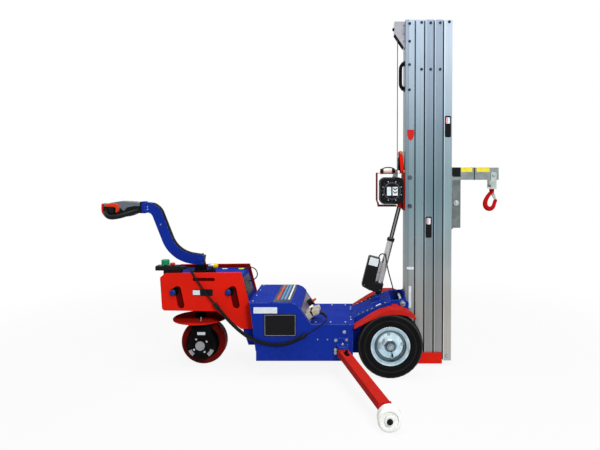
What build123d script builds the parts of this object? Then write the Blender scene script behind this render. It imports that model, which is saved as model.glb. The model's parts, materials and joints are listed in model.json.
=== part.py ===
"""Glazing hoist: a pedestrian-steered trolley with a telescopic mast, a hand winch and a hook boom.

Millimetres, +Z up. +X is forward (mast and hook), -X is the tiller, +Y is the machine's left.
Stations along the machine are measured from the main axle and placed with at().
"""

import os
from math import atan2, cos, degrees, hypot, radians, sin, tan

from build123d import *

os.makedirs("parts", exist_ok=True)

# Reach of the machine behind and ahead of the main axle; the origin lies midway between the two
rear_reach = 1862.0
front_reach = 722.0
axle_x = (rear_reach - front_reach) / 2
# Stations are given for a rear reach of 1862: those behind the battery box's middle move with the reach
box_middle = -690.0
rear_shift = rear_reach - 1862.0

# Main wheels, 4.00-8 size
wheel_r = 200.0
tyre_w = 100.0
wheel_y = 257.0
bead_r = 101.0
axle_r = 12.5
running = 0.06
seat_gap = 0.3

# Chassis
chassis_half = 257.0
sheet = 5.0
floor_z = 96.0
deck_z = 320.0
lid_z = 454.0
lid_sheet = 4.0
slope_low = (-485.0, 320.0)
slope_high = (-552.0, 417.0)

# Ramp cover and cradle cheeks
ramp_half = 150.0
ramp_rear = (-225.0, 335.0)
ramp_front = (15.0, 442.0)
cheek_in = 134.0
cheek_out = 146.0

# Mast
mast_half = 70.0
mast_top = 2232.0
section_pitch = 60.5
section_rear = 117.5
section_len = 52.0
wall = 6.0
lip = 5.0
shoe_z = 24.0
tilt_x = 88.0
tilt_z = 425.0
tilt_pin_r = 12.5

# Steering and drive
steer_x = -1230.0
column_r = 35.0
drive_x = -1202.0
drive_r = 145.0
disc_r = 175.0
disc_z = 292.0
disc_t = 7.0
housing_half = 140.0
housing_top = 600.0
plate_in = 150.0
plate_out = 170.0
arm_depth = 66.0
arm_half = 22.0

# Winch
drum_x = 25.0
drum_z = 1135.0
rope_r = 3.0
rope_pitch_r = 42.0
sheave_drop = 67.0
sheave_z = mast_top - sheave_drop
sheave_pitch_r = 33.0

# Tilt actuator, from its lower pin to the pin on the mast
lower_pin = (-70.0, 436.0)
upper_pin = (83.0, 1040.0)

# Outriggers
hinge_x = -290.0
hinge_y = 300.0
roller_x = -59.0
roller_y = 950.0
roller_r = 60.0
roller_w = 75.0
leg_w = 60.0
leg_h = 40.0
leg_wall = 4.0
leg_top_rear = 183.0
leg_top_front = 121.0
leg_end_x = roller_x - 23.0


def at(x):
    """Station along the machine, measured forward from the main axle."""
    return axle_x + x - (rear_shift if x < box_middle else 0)


def placed(points):
    """Outline points with their stations turned into X."""
    return [(at(x), z) for x, z in points]


def slab(points, y_low, y_high, mode=Mode.ADD):
    """Extrude a side-view outline between two Y values."""
    with BuildSketch(Plane.XZ.offset(-y_high)) as outline:
        with BuildLine():
            Polyline(*placed(points), close=True)
        make_face()
    extrude(outline.sketch, amount=y_high - y_low, mode=mode)


def block(x_low, x_high, y_low, y_high, z_low, z_high, mode=Mode.ADD):
    """Box between two stations, two Y values and two heights."""
    centre = ((at(x_low) + at(x_high)) / 2, (y_low + y_high) / 2, (z_low + z_high) / 2)
    with Locations(centre):
        Box(at(x_high) - at(x_low), y_high - y_low, z_high - z_low, mode=mode)


def bar_y(x, z, radius, y_low, y_high, mode=Mode.ADD):
    """Round bar or hole along Y."""
    with BuildSketch(Plane.XZ.offset(-y_high)) as disc:
        with Locations((at(x), z)):
            Circle(radius)
    extrude(disc.sketch, amount=y_high - y_low, mode=mode)


def bar_z(x, y, radius, z_low, z_high, mode=Mode.ADD):
    """Round bar or hole along Z."""
    with BuildSketch(Plane.XY.offset(z_low)) as disc:
        with Locations((at(x), y)):
            Circle(radius)
    extrude(disc.sketch, amount=z_high - z_low, mode=mode)


def turned_y(points, x, y, z, mode=Mode.ADD):
    """Revolve a (radius, offset along Y) outline about an axle along Y."""
    with BuildSketch(Plane(origin=(at(x), y, z), x_dir=(1, 0, 0), z_dir=(0, 0, 1))) as section:
        with BuildLine():
            Polyline(*points, close=True)
        make_face()
    revolve(section.sketch, axis=Axis((at(x), y, z), (0, 1, 0)), mode=mode)


def bend_radii(points):
    """Arc radius at each inner point of a route: as large as its two runs allow."""
    radii = []
    for before, corner, after in zip(points, points[1:], points[2:]):
        run_in = Vector(corner) - Vector(before)
        run_out = Vector(after) - Vector(corner)
        half_turn = radians(run_in.get_angle(run_out)) / 2
        radii.append(0.45 * min(run_in.length, run_out.length) / tan(half_turn))
    return radii


def pipe(points, radius):
    """Round cable or bar along straight runs and tangent arcs; returns its tightest bend."""
    corners = [(at(x), y, z) for x, y, z in points]
    radii = bend_radii(corners)
    with BuildLine() as route:
        FilletPolyline(*corners, radius=radii)
    with BuildSketch(Plane(origin=route.line @ 0, z_dir=route.line % 0)) as ring:
        Circle(radius)
    sweep(ring.sketch, path=route.line)
    return min(radii)


def slot_between(a, b, half_width):
    """Round-ended slot between two points of the current sketch."""
    (xa, za), (xb, zb) = a, b
    length = hypot(xb - xa, zb - za)
    with Locations(Location((at((xa + xb) / 2), (za + zb) / 2, 0), (0, 0, degrees(atan2(zb - za, xb - xa))))):
        SlotCenterToCenter(length, 2 * half_width)


# Chassis tub with its battery box, open at the deck and under the lid
with BuildPart() as chassis_frame:
    slab(
        [
            (-823, floor_z), (-227, floor_z), (-227, deck_z), slope_low, slope_high,
            (-576, 441), (-607, lid_z), (-862, lid_z), (-826, 158), (-823, 158),
        ],
        -chassis_half,
        chassis_half,
    )
    slab(
        [
            (-818, floor_z + sheet), (-232, floor_z + sheet), (-232, 340), (-484, 340), (-484, 312),
            (-491, 312), (-558, 409), (-558, 480), (-860, 480), (-856, 454), (-820.5, 163), (-818, 158),
        ],
        -chassis_half + sheet,
        chassis_half - sheet,
        Mode.SUBTRACT,
    )

# Bent cover: flat deck and the ramp that rises to the mast
ramp_rise = (ramp_front[1] - ramp_rear[1]) / (ramp_front[0] - ramp_rear[0])
cover_sheet = 3.0


def ramp_top(x):
    """Height of the ramp's upper face at a station."""
    return ramp_rear[1] + ramp_rise * (x - ramp_rear[0])


def ramp_under(x):
    """Height just under the ramp's sheet at a station."""
    return ramp_top(x) - cover_sheet - seat_gap - 0.4


deck_front = ramp_rear[0] + cover_sheet
with BuildPart() as deck_cover:
    block(-484, deck_front, -chassis_half, chassis_half, deck_z, deck_z + cover_sheet)
    slab([(ramp_rear[0], deck_z), ramp_rear, ramp_front, (ramp_front[0], deck_z)], -ramp_half, ramp_half)
    slab(
        [
            (deck_front, deck_z - 20), (deck_front, ramp_top(deck_front) - cover_sheet - 0.3),
            (30, ramp_top(30) - cover_sheet - 0.3), (30, deck_z - 20),
        ],
        -ramp_half + cover_sheet,
        ramp_half - cover_sheet,
        Mode.SUBTRACT,
    )

with BuildPart() as batteries:
    for y in (-92, 92):
        block(-810, -506, y - 86, y + 86, 101, 321)
        for x in (-780, -536):
            bar_z(x, y, 10, 321, 334)

# Lid over the battery box, bent down at its front and hinged along its rear edge
with BuildPart() as box_lid:
    slab(
        [
            (-866, 454.5), (-866, 454.5 + lid_sheet), (-605.5, 458.5), (-573, 444.5), (-547.5, 419),
            (-550.8, 416.5), (-575.4, 441.6), (-606.7, 454.5),
        ],
        -chassis_half,
        chassis_half,
    )

# Power connectors, the isolator's body and a socket on the sloping front of the battery box
slope_len = hypot(slope_high[0] - slope_low[0], slope_high[1] - slope_low[1])
slope_dir = ((slope_low[0] - slope_high[0]) / slope_len, 0, (slope_low[1] - slope_high[1]) / slope_len)
slope_out = (-slope_dir[2], 0, slope_dir[0])


def slope_plane(up, y, out=0.0):
    """Plane on the sloping panel: a distance up from its lower edge, at a Y, and out from the sheet."""
    return Plane(
        origin=(
            at(slope_low[0]) - slope_dir[0] * up + slope_out[0] * out,
            y,
            slope_low[1] - slope_dir[2] * up + slope_out[2] * out,
        ),
        x_dir=slope_dir,
        z_dir=slope_out,
    )


key_up = 62.0
key_y = 62.0
with BuildPart() as power_connectors:
    for y in (-204, -132):
        with Locations(slope_plane(40, y)):
            Box(50, 64, 52, align=(Align.CENTER, Align.CENTER, Align.MIN))
    with Locations(slope_plane(key_up, key_y)):
        Cylinder(24, 34, align=(Align.CENTER, Align.CENTER, Align.MIN))
    with Locations(slope_plane(key_up, key_y, 34)):
        Cylinder(6 + running, 30, align=(Align.CENTER, Align.CENTER, Align.MAX), mode=Mode.SUBTRACT)
    with Locations(slope_plane(34, 10)):
        Cylinder(18, 24, align=(Align.CENTER, Align.CENTER, Align.MIN))

with BuildPart() as isolator_key:
    with Locations(slope_plane(key_up, key_y, 6)):
        Cylinder(6, 40, align=(Align.CENTER, Align.CENTER, Align.MIN))
    with Locations(slope_plane(key_up, key_y, 36)):
        Box(9, 40, 22, align=(Align.CENTER, Align.CENTER, Align.MIN))

# Welded cradle between the wheels: two cheeks, cross plates and the beam under the actuator
with BuildPart() as mast_cradle:
    for low, high in ((-cheek_out, -cheek_in), (cheek_in, cheek_out)):
        slab(
            [
                (-227, 110), (96, 110), (128, 150), (128, 428), (112, 445), (24, 445), (16, ramp_under(16)),
                (deck_front + seat_gap, ramp_under(deck_front)), (deck_front + seat_gap, 318), (-227, 318),
            ],
            low,
            high,
        )
        bar_y(tilt_x, tilt_z, tilt_pin_r, low, high, Mode.SUBTRACT)
        bar_y(0, wheel_r, axle_r, low, high, Mode.SUBTRACT)
    block(-227, -217, -cheek_in, cheek_in, 110, 318)
    block(-217, 60, -cheek_in, cheek_in, 110, 120)
    slab([(-112, 345), (-28, 345), (-28, ramp_under(-28)), (-112, ramp_under(-112))], -cheek_in, cheek_in)

with BuildPart() as main_axle:
    bar_y(0, wheel_r, axle_r, -304, 304)
    for low, high in ((-312, -304), (304, 312)):
        bar_y(0, wheel_r, 21, low, high)

with BuildPart() as mast_pivot_pin:
    bar_y(tilt_x, tilt_z, tilt_pin_r, -cheek_out - 6, cheek_out + 6)
    for low, high in ((-cheek_out - 12, -cheek_out), (cheek_out, cheek_out + 12)):
        bar_y(tilt_x, tilt_z, 18, low, high)

# Folded mudguards with an outer lip and a strut to the cradle
guard_top = [(-221.5, 310.5), (-112, 380), (-66, 404), (0, 424), (62, 424), (112, 406), (156, 370)]
guard_lip = [(154, 363), (110, 384), (60, 394), (0, 394), (-60, 386), (-112, 363), (-221.5, 307)]
with BuildPart() as fenders:
    for sign in (-1, 1):
        inner, outer = sorted((sign * 203, sign * 307))
        under = [(x, z - 3.4) for x, z in reversed(guard_top)]
        slab(guard_top + under, inner, outer)
        lip_low, lip_high = sorted((sign * 303.5, sign * 307))
        slab(guard_top + guard_lip, lip_low, lip_high)
        strut_low, strut_high = sorted((sign * cheek_out, sign * 206))
        block(18, 58, strut_low, strut_high, 414, 421)

# Rear housing over the drive wheel, with its neck to the chassis
with BuildPart() as rear_housing:
    slab(
        [
            (-1425, 395), (-1425, housing_top), (-940, housing_top), (-842, 262), (-826.6, 158), (-890, 158),
            (-925, 262), (-1095, 395),
        ],
        -housing_half,
        housing_half,
    )
    slab(
        [
            (-1420, 400), (-1420, housing_top - sheet), (-944, housing_top - sheet), (-848, 264), (-833, 163),
            (-886, 163),
            (-921, 266), (-1093, 400),
        ],
        -housing_half + sheet,
        housing_half - sheet,
        Mode.SUBTRACT,
    )
    bar_z(steer_x, 0, column_r + running, 380, 620, Mode.SUBTRACT)

# Hanging counterweight plates: hooked slots over studs, and a hand slot
stud_at = [(-1358, 500), (-1010, 500)]
stud_r = 20.0
slot_half = 22.5
slot_drop = slot_half - stud_r - seat_gap
with BuildPart() as counterweight_plates:
    for low in (-plate_out, plate_in):
        with BuildSketch(Plane.XZ.offset(-(low + plate_out - plate_in))):
            with BuildLine():
                Polyline(
                    *placed(
                        [
                            (-1428, 398), (-1439, 594), (-1408, 619), (-931, 624), (-841, 272),
                            (-929, 268), (-1086, 380), (-1416, 385),
                        ]
                    ),
                    close=True,
                )
            make_face()
            for x, z in stud_at:
                hook_end = (x, z - slot_drop)
                corner = (x + 28, z + 17)
                with BuildSketch(mode=Mode.SUBTRACT):
                    slot_between(hook_end, corner, slot_half)
                    slot_between(corner, (x + 48, z - 82), slot_half)
            with Locations((at(-1165), 580)):
                SlotOverall(140, 22, mode=Mode.SUBTRACT)
        extrude(amount=plate_out - plate_in)

with BuildPart() as counterweight_studs:
    for x, z in stud_at:
        for sign in (-1, 1):
            low, high = sorted((sign * housing_half, sign * (plate_in - seat_gap)))
            bar_y(x, z, 32, low, high)
            low, high = sorted((sign * housing_half, sign * (plate_out + 8)))
            bar_y(x, z, stud_r, low, high)

# Control pendant in its holder on top of the near plate
knob_x = -1417.0
button_x = -1372.0
pendant_y = -128.0
with BuildPart() as pendant_body:
    block(-1474, -1330, pendant_y - 30, pendant_y + 30, 634, 664)
    fillet(pendant_body.edges(), 6)
    block(-1424, -1318, -plate_in + 2, pendant_y + 34, housing_top, 636)
    block(-1330, -1290, pendant_y - 22, pendant_y + 22, 640, 658)
    bar_z(knob_x, pendant_y, 9 + running, 648, 670, Mode.SUBTRACT)
    bar_z(button_x, pendant_y, 7 + running, 648, 670, Mode.SUBTRACT)

with BuildPart() as start_knob:
    bar_z(knob_x, pendant_y, 9, 654, 670)
    bar_z(knob_x, pendant_y, 25, 670, 700)
    fillet(start_knob.edges().group_by(Axis.Z)[-1], 4)

with BuildPart() as stop_button:
    bar_z(button_x, pendant_y, 7, 654, 669)
    bar_z(button_x, pendant_y, 16, 669, 680)
    fillet(stop_button.edges().group_by(Axis.Z)[-1], 4)

# Tiller's centre line in side view: level at the head, down the S, and nearly level into the yoke
with BuildLine() as tiller_line:
    head_run = Line((at(-1612), 1024), (at(-1572), 1024))
    elbow = JernArc(head_run @ 1, (1, 0), 74, -69)
    drop_run = Line(elbow @ 1, (elbow @ 1) + (elbow % 1) * 171)
    lower_bend = JernArc(drop_run @ 1, drop_run % 1, 205, 60)
    tail_run = Line(lower_bend @ 1, (lower_bend @ 1) + (lower_bend % 1) * 78)
tiller_x = (tail_run @ 0.72).X - axle_x + rear_shift
tiller_z = (tail_run @ 0.72).Y
tiller_pin_r = 10.0

# Steering column with the tiller's yoke on top
yoke_in = arm_half + 0.8
yoke_out = yoke_in + 12
flange_z = housing_top + seat_gap
flange_t = 11.0
with BuildPart() as steering_column:
    bar_z(steer_x, 0, column_r, disc_z + disc_t, flange_z + flange_t)
    bar_z(steer_x, 0, 62, flange_z, flange_z + flange_t)
    for low, high in ((-yoke_out, -yoke_in), (yoke_in, yoke_out)):
        slab(
            [
                (steer_x - 30, flange_z + flange_t - 1), (steer_x + 36, flange_z + flange_t - 1),
                (tiller_x + 19, tiller_z + 6), (tiller_x + 10, tiller_z + 17), (tiller_x - 10, tiller_z + 17),
                (tiller_x - 19, tiller_z + 6),
            ],
            low,
            high,
        )
    bar_y(tiller_x, tiller_z, tiller_pin_r, -yoke_out - 4, yoke_out + 4)

with BuildPart() as guard_disc:
    bar_z(steer_x, 0, disc_r, disc_z, disc_z + disc_t)
    fillet(guard_disc.edges().filter_by(GeomType.CIRCLE), 2)

# Drive unit: motor and gear case on the near side of the wheel, hung under the disc
motor_face = -54.0
with BuildPart() as drive_motor:
    bar_y(drive_x, drive_r, 94, -104, motor_face)
    bar_y(drive_x, drive_r, 62, -113, -104)
    bar_y(drive_x, drive_r, 32, -124, -113)
    block(drive_x - 62, drive_x + 62, -100, motor_face - 4, drive_r + 40, disc_z)
    bar_y(drive_x, drive_r, 20, motor_face - 1, 30)

with BuildPart() as drive_tyre:
    turned_y(
        [
            (108, -44), (drive_r - 10, -44), (drive_r - 3, -40), (drive_r, -30), (drive_r, 30),
            (drive_r - 3, 40),
            (drive_r - 10, 44), (108, 44),
        ],
        drive_x,
        0,
        drive_r,
    )

with BuildPart() as drive_hub:
    turned_y(
        [
            (20 + running, -46), (60, -46), (60, -20), (96, -20), (96, -42), (108, -42), (108, 42),
            (96, 42), (96, 20), (64, 30), (52, 50), (0, 50), (0, 34), (20 + running, 34),
        ],
        drive_x,
        0,
        drive_r,
    )

# Tiller: one S-bent box section from the yoke to the head
arm_wall = 3.5
with BuildPart() as tiller_arm:
    with BuildSketch(Plane.XZ.offset(-arm_half)):
        with BuildLine():
            add(tiller_line.line)
        trace(line_width=arm_depth)
    extrude(amount=2 * arm_half)
    with BuildSketch(Plane.XZ.offset(-arm_half + arm_wall)):
        with BuildLine():
            add(tiller_line.line)
        trace(line_width=arm_depth - 2 * arm_wall)
    extrude(amount=2 * (arm_half - arm_wall), mode=Mode.SUBTRACT)
    bar_y(tiller_x, tiller_z, tiller_pin_r + 9, -arm_half, arm_half)
    bar_y(tiller_x, tiller_z, tiller_pin_r + running, -arm_half, arm_half, Mode.SUBTRACT)

# Tiller head: lower shell with its two hand loops, and the cover above
grip_x = -1790.0
grip_z = 1012.0
grip_shaft_r = 8.0
head_half = 36.0
head_rear = -1845.0
head_front = -1613.0
stem_r = 9.0
stem_z = 1009.0
press_travel = 6.0
pad_rear = head_rear - 17.0
with BuildPart() as head_shell:
    slab(
        [
            (head_front, 990), (head_front, 1034), (-1650, 1034), (-1700, 1024), (-1760, 1030),
            (head_rear, 1030),
            (head_rear, 998), (-1826, 984), (-1770, 982), (-1690, 976), (-1640, 982),
        ],
        -head_half,
        head_half,
    )
    for sign in (-1, 1):
        pipe(
            [
                (-1630, sign * 26, 1004), (-1668, sign * 72, 990), (-1718, sign * 100, 972),
                (-1778, sign * 104, 965), (-1818, sign * 74, 982), (-1826, sign * 26, 1008),
            ],
            15,
        )
    block(head_front - 1, -1582, -arm_half - 4.5, arm_half + 4.5, 986, 1062)
    block(head_front, -1560, -arm_half - seat_gap, arm_half + seat_gap, 1024 - arm_depth / 2 - seat_gap,
          1024 + arm_depth / 2 + seat_gap, Mode.SUBTRACT)
    bar_y(grip_x, grip_z, grip_shaft_r + running, -head_half, head_half, Mode.SUBTRACT)
    with BuildSketch(Plane.YZ.offset(at(head_rear))) as stem_bore:
        with Locations((0, stem_z)):
            Circle(stem_r + running)
    extrude(stem_bore.sketch, amount=30, mode=Mode.SUBTRACT)

with BuildPart() as head_cover:
    slab(
        [
            (head_front - 1.5, 1034.4), (head_front - 1.5, 1056), (-1660, 1062), (-1740, 1066), (-1800, 1056),
            (head_rear, 1046), (head_rear, 1030.4), (-1760, 1030.4), (-1700, 1024.4), (-1650, 1034.4),
        ],
        -head_half,
        head_half,
    )
    fillet(head_cover.edges().group_by(Axis.Y)[0].sort_by(Axis.Z)[-4:], 4)
    fillet(head_cover.edges().group_by(Axis.Y)[-1].sort_by(Axis.Z)[-4:], 4)

# Butterfly throttle on a cross shaft through the head
with BuildPart() as throttle:
    bar_y(grip_x, grip_z, grip_shaft_r, -head_half - 28, head_half + 28)
    for sign in (-1, 1):
        low, high = sorted((sign * (head_half + 1), sign * (head_half + 28)))
        bar_y(grip_x, grip_z, 19, low, high)
        slab(
            [
                (grip_x - 14, grip_z + 10), (grip_x - 6, grip_z + 28), (grip_x + 14, grip_z + 30),
                (grip_x + 30, grip_z + 8), (grip_x + 8, grip_z - 14),
            ],
            low,
            high,
        )

# Belly button: the pad at the end of the head that stops the drive when pressed
with BuildPart() as safety_button:
    block(pad_rear, head_rear - press_travel - 1.5, -34, 34, 972, 1046)
    fillet(safety_button.edges().group_by(Axis.X)[0], 6)
    with BuildSketch(Plane.YZ.offset(at(head_rear - press_travel - 2))) as stem:
        with Locations((0, stem_z)):
            Circle(stem_r)
    extrude(stem.sketch, amount=28)


# Main wheels
def tyre_at(y):
    """Hollow tyre with its beads on the rim."""
    with BuildSketch(Plane(origin=(at(0), y, wheel_r), x_dir=(1, 0, 0), z_dir=(0, 0, 1))) as section:
        half = tyre_w / 2
        with BuildLine():
            Line((bead_r, -half + 14), (118, -half + 11))
            ThreePointArc((118, -half + 11), (152, -half), (184, -half + 8))
            ThreePointArc((184, -half + 8), (wheel_r, 0), (184, half - 8))
            ThreePointArc((184, half - 8), (152, half), (118, half - 11))
            Polyline((118, half - 11), (bead_r, half - 14), (bead_r, half - 24), (118, half - 22))
            ThreePointArc((118, half - 22), (148, half - 11), (172, half - 18))
            ThreePointArc((172, half - 18), (186, 0), (172, -half + 18))
            ThreePointArc((172, -half + 18), (148, -half + 11), (118, -half + 22))
            Polyline((118, -half + 22), (bead_r, -half + 24), (bead_r, -half + 14))
        make_face()
    revolve(section.sketch, axis=Axis((at(0), y, wheel_r), (0, 1, 0)))


def rim_at(y, out):
    """Pressed steel rim with a dished disc and a bearing tube; out is the outward direction."""
    half_disc = [
        (24, 44), (30, 42), (34, 36), (40, 31), (60, 30), (76, 26), (86, 20), (91, 20), (96, 28), (97, 40),
        (112, 42), (119, 46),
    ]
    seat = [(120.5, 44), (118.2, 39.4), (bead_r, 36.2), (bead_r, -36.2), (118.2, -39.4), (120.5, -44)]
    back = [
        (119, -46), (112, -42), (97, -40), (97, 22), (92, 15.5), (85, 15.5), (75, 21.5), (60, 25.5), (40, 26),
        (24, 22), (24, -44),
    ]
    bore = [(axle_r + running, -44), (axle_r + running, 44)]
    turned_y([(r, out * offset) for r, offset in half_disc + seat + back + bore], 0, y, wheel_r)


with BuildPart() as right_tyre:
    tyre_at(-wheel_y)
with BuildPart() as left_tyre:
    tyre_at(wheel_y)
with BuildPart() as right_rim:
    rim_at(-wheel_y, -1)
with BuildPart() as left_rim:
    rim_at(wheel_y, 1)

# Outrigger brackets with their hinge pins, on the chassis sides
hinge_pin_r = 12.0
lug_t = 12.0
lug_low = leg_top_rear - leg_h - lug_t - 7
lug_high = leg_top_rear + 7
with BuildPart() as outrigger_brackets:
    for sign in (-1, 1):
        near, far = sorted((sign * chassis_half, sign * (chassis_half + 6)))
        block(hinge_x - 52, hinge_x + 34, near, far, lug_low - 14, lug_high + 50)
        for low in (lug_low, lug_high):
            bar_z(hinge_x, sign * hinge_y, 32, low, low + lug_t)
            near, far = sorted((sign * chassis_half, sign * hinge_y))
            block(hinge_x - 32, hinge_x + 32, near, far, low, low + lug_t)
        bar_z(hinge_x, sign * hinge_y, hinge_pin_r, lug_low - 6, lug_high + lug_t + 10)


def outrigger_plane(sign):
    """Upright plane through the hinge pin, with its X along the arm."""
    run = (leg_end_x - hinge_x, sign * (roller_y - roller_w / 2 - 8 - hinge_y))
    length = hypot(*run)
    along = (run[0] / length, run[1] / length, 0)
    return Plane(origin=(at(hinge_x), sign * hinge_y, 0), x_dir=along, z_dir=(along[1], -along[0], 0)), length


def outrigger_at(sign):
    """Box-section arm with its hinge boss, its end plate and the roller's stub axle."""
    plane, length = outrigger_plane(sign)
    fall = (leg_top_front - leg_top_rear) / length
    with BuildSketch(plane.offset(-leg_w / 2)) as tube:
        with BuildLine():
            Polyline((0, leg_top_rear - leg_h), (0, leg_top_rear), (length, leg_top_front),
                     (length, leg_top_front - leg_h), close=True)
        make_face()
    extrude(tube.sketch, amount=leg_w)
    roof = leg_top_rear - leg_wall
    sole = leg_top_rear - leg_h + leg_wall
    bore_start, bore_end = -20.0, length - 30.0
    with BuildSketch(plane.offset(leg_wall - leg_w / 2)) as bore:
        with BuildLine():
            Polyline((bore_start, sole + fall * bore_start), (bore_start, roof + fall * bore_start),
                     (bore_end, roof + fall * bore_end), (bore_end, sole + fall * bore_end), close=True)
        make_face()
    extrude(bore.sketch, amount=leg_w - 2 * leg_wall, mode=Mode.SUBTRACT)
    bar_z(hinge_x, sign * hinge_y, 30, lug_low + lug_t + seat_gap, lug_high - seat_gap)
    bar_z(hinge_x, sign * hinge_y, hinge_pin_r + running, lug_low, lug_high + lug_t, Mode.SUBTRACT)
    face = sign * (roller_y - roller_w / 2 - 4)
    inner, outer = sorted((face - sign * 14, face))
    slab(
        [
            (leg_end_x - 32, leg_top_front), (leg_end_x + 34, leg_top_front), (roller_x + 28, roller_r + 24),
            (roller_x + 28, roller_r - 20), (roller_x + 10, roller_r - 28), (roller_x - 14, roller_r - 28),
            (leg_end_x - 32, leg_top_front - leg_h),
        ],
        inner,
        outer,
    )
    with BuildSketch(Plane.XZ.offset(-sign * (roller_y - roller_w / 2 - 1))) as clear:
        with Locations((at(roller_x), roller_r)):
            Circle(roller_r + 60)
    extrude(clear.sketch, amount=-sign * 60, mode=Mode.SUBTRACT)
    inner, outer = sorted((face - sign * 30, sign * (roller_y + roller_w / 2 + 2)))
    bar_y(roller_x, roller_r, 10, inner, outer)
    inner, outer = sorted((sign * (roller_y + roller_w / 2 + 1), sign * (roller_y + roller_w / 2 + 8)))
    bar_y(roller_x, roller_r, 14, inner, outer)


def roller_at(sign):
    """Stepped nylon roller on the arm's stub axle."""
    half = roller_w / 2
    turned_y(
        [
            (10 + running, -half), (52, -half), (roller_r, -half + 8), (roller_r, half - 14),
            (52, half - 4), (44, half - 4), (42, half - 12), (26, half - 12), (24, half),
            (10 + running, half),
        ]
        if sign > 0
        else [
            (10 + running, half), (52, half), (roller_r, half - 8), (roller_r, 14 - half),
            (52, 4 - half), (44, 4 - half), (42, 12 - half), (26, 12 - half), (24, -half),
            (10 + running, -half),
        ],
        roller_x,
        sign * roller_y,
        roller_r,
    )


with BuildPart() as right_outrigger:
    outrigger_at(-1)
with BuildPart() as left_outrigger:
    outrigger_at(1)
with BuildPart() as right_roller:
    roller_at(-1)
with BuildPart() as left_roller:
    roller_at(1)


# Mast sections: each a channel whose front lips hold the next section's tongue
def mast_section(index, z_low, front_plate=False):
    """Extruded profile of one section; the first has no tongue, the last a closed front."""
    rear = section_rear + (index - 1) * section_pitch
    front = rear + section_len
    web_rear = rear - 5.5 if index == 1 else rear
    with BuildSketch(Plane.XY.offset(z_low)) as profile:
        with Locations((at((web_rear + front) / 2), 0)):
            Rectangle(front - web_rear, 2 * mast_half)
        with Locations((at((rear + front) / 2), 0)):
            Rectangle(section_len - 2 * lip, 2 * (mast_half - wall), mode=Mode.SUBTRACT)
        if not front_plate:
            with Locations((at(front - 3), 0)):
                Rectangle(20, 96, mode=Mode.SUBTRACT)
        if index > 1:
            flange_front = rear - section_pitch + section_len - lip - seat_gap
            with Locations((at((flange_front + rear) / 2), 39), (at((flange_front + rear) / 2), -39)):
                Rectangle(rear - flange_front + 2, 6)
            with Locations((at(flange_front - 3.5), 0)):
                Rectangle(7, 116)
    extrude(profile.sketch, amount=mast_top - z_low)


with BuildPart() as mast_section_1:
    mast_section(1, shoe_z)
    block(100, 124, -10, 10, sheave_z - 60, mast_top + 68, Mode.SUBTRACT)
with BuildPart() as mast_section_2:
    mast_section(2, shoe_z + seat_gap)
with BuildPart() as mast_section_3:
    mast_section(3, shoe_z + seat_gap)
with BuildPart() as mast_section_4:
    mast_section(4, shoe_z + seat_gap)
with BuildPart() as carriage:
    mast_section(5, 33, front_plate=True)

# Mast base: back plate, tilt ears and the shoe under the sections
ear_in = 118.0
ear_out = 130.0
with BuildPart() as mast_base:
    block(104, 112, -mast_half, mast_half, 16, 470)
    block(104, 112, -ear_out, ear_out, 398, 452)
    block(104, 112, -80, 80, 16, 86)
    for low, high in ((-ear_out, -ear_in), (ear_in, ear_out)):
        slab([(112, 398), (112, 452), (84, 452), (66, 440), (66, 410), (80, 398)], low, high)
        bar_y(tilt_x, tilt_z, tilt_pin_r + running, low, high, Mode.SUBTRACT)
    block(104, 352, -80, 80, 16, shoe_z)
    for low, high in ((-80, -72), (72, 80)):
        block(104, 352, low, high, 16, 86)
    for low, high in ((-72, -mast_half), (mast_half, 72)):
        block(112, 166, low, high, shoe_z, 86)

# Winch frame: back plate, strap round the drum, drum bracket, actuator lugs and the guide arm's lug
guide_x = 98.0
guide_z = 1258.0
with BuildPart() as winch_frame:
    block(100, 112, -62, 62, 1008, 1246)
    block(90, 112, -27, 27, 1246, 1270)
    slab(
        [
            (82, 1250), (-71, 1250), (-71, 1068), (-62, 1053), (-62, 1036), (60, 1036), (60, 1039),
            (-59, 1039), (-59, 1054), (-68, 1069), (-68, 1247), (82, 1247),
        ],
        -64,
        56,
    )
    block(80, 92, -27, 27, 1247, 1250)
    block(57, 77, -9, 9, 1240, 1256, Mode.SUBTRACT)
    slab([(100, 1092), (100, 1178), (30, 1164), (6, 1148), (6, 1122), (30, 1106)], 58, 66)
    block(100, 112, 58, 66, 1092, 1178)
    bar_y(drum_x, drum_z, 12 + running, 50, 70, Mode.SUBTRACT)
    for low, high in ((-25, -17), (17, 25)):
        slab([(100, 1020), (100, 1062), (78, 1056), (69, 1046), (69, 1032), (78, 1024)], low, high)
    bar_y(upper_pin[0], upper_pin[1], 8, -25, 25)
    bar_y(guide_x, guide_z, 6, -42, 42)

with BuildPart() as winch_housing:
    with BuildSketch(Plane.XZ.offset(30)):
        with Locations((at(22), 1136)):
            RectangleRounded(156, 172, 34)
    extrude(amount=62)
    bar_y(drum_x, drum_z, 48, -100, -92)
    fillet(winch_housing.edges().group_by(Axis.Y)[0], 3)
    bar_y(drum_x, drum_z, 12 + running, -60, -28, Mode.SUBTRACT)

# Drum with its shaft and the crank, whose grip is folded across the arm
with BuildPart() as winch_drum:
    bar_y(drum_x, drum_z, rope_pitch_r - rope_r - 0.4, -26, 50)
    for low, high in ((-26, -21), (45, 50)):
        bar_y(drum_x, drum_z, 74, low, high)
    bar_y(drum_x, drum_z, 12, -58, 104)
    slab([(8, 1128), (42, 1128), (78, 1246), (78, 1272), (56, 1272), (50, 1246)], 84, 94)
    with BuildSketch(Plane.YZ.offset(at(58))) as grip:
        with Locations((92, 1259)):
            Circle(9)
    extrude(grip.sketch, amount=-90)
    with BuildSketch(Plane.YZ.offset(at(50))) as grip:
        with Locations((97, 1259)):
            Circle(16)
    extrude(grip.sketch, amount=-81)

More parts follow.
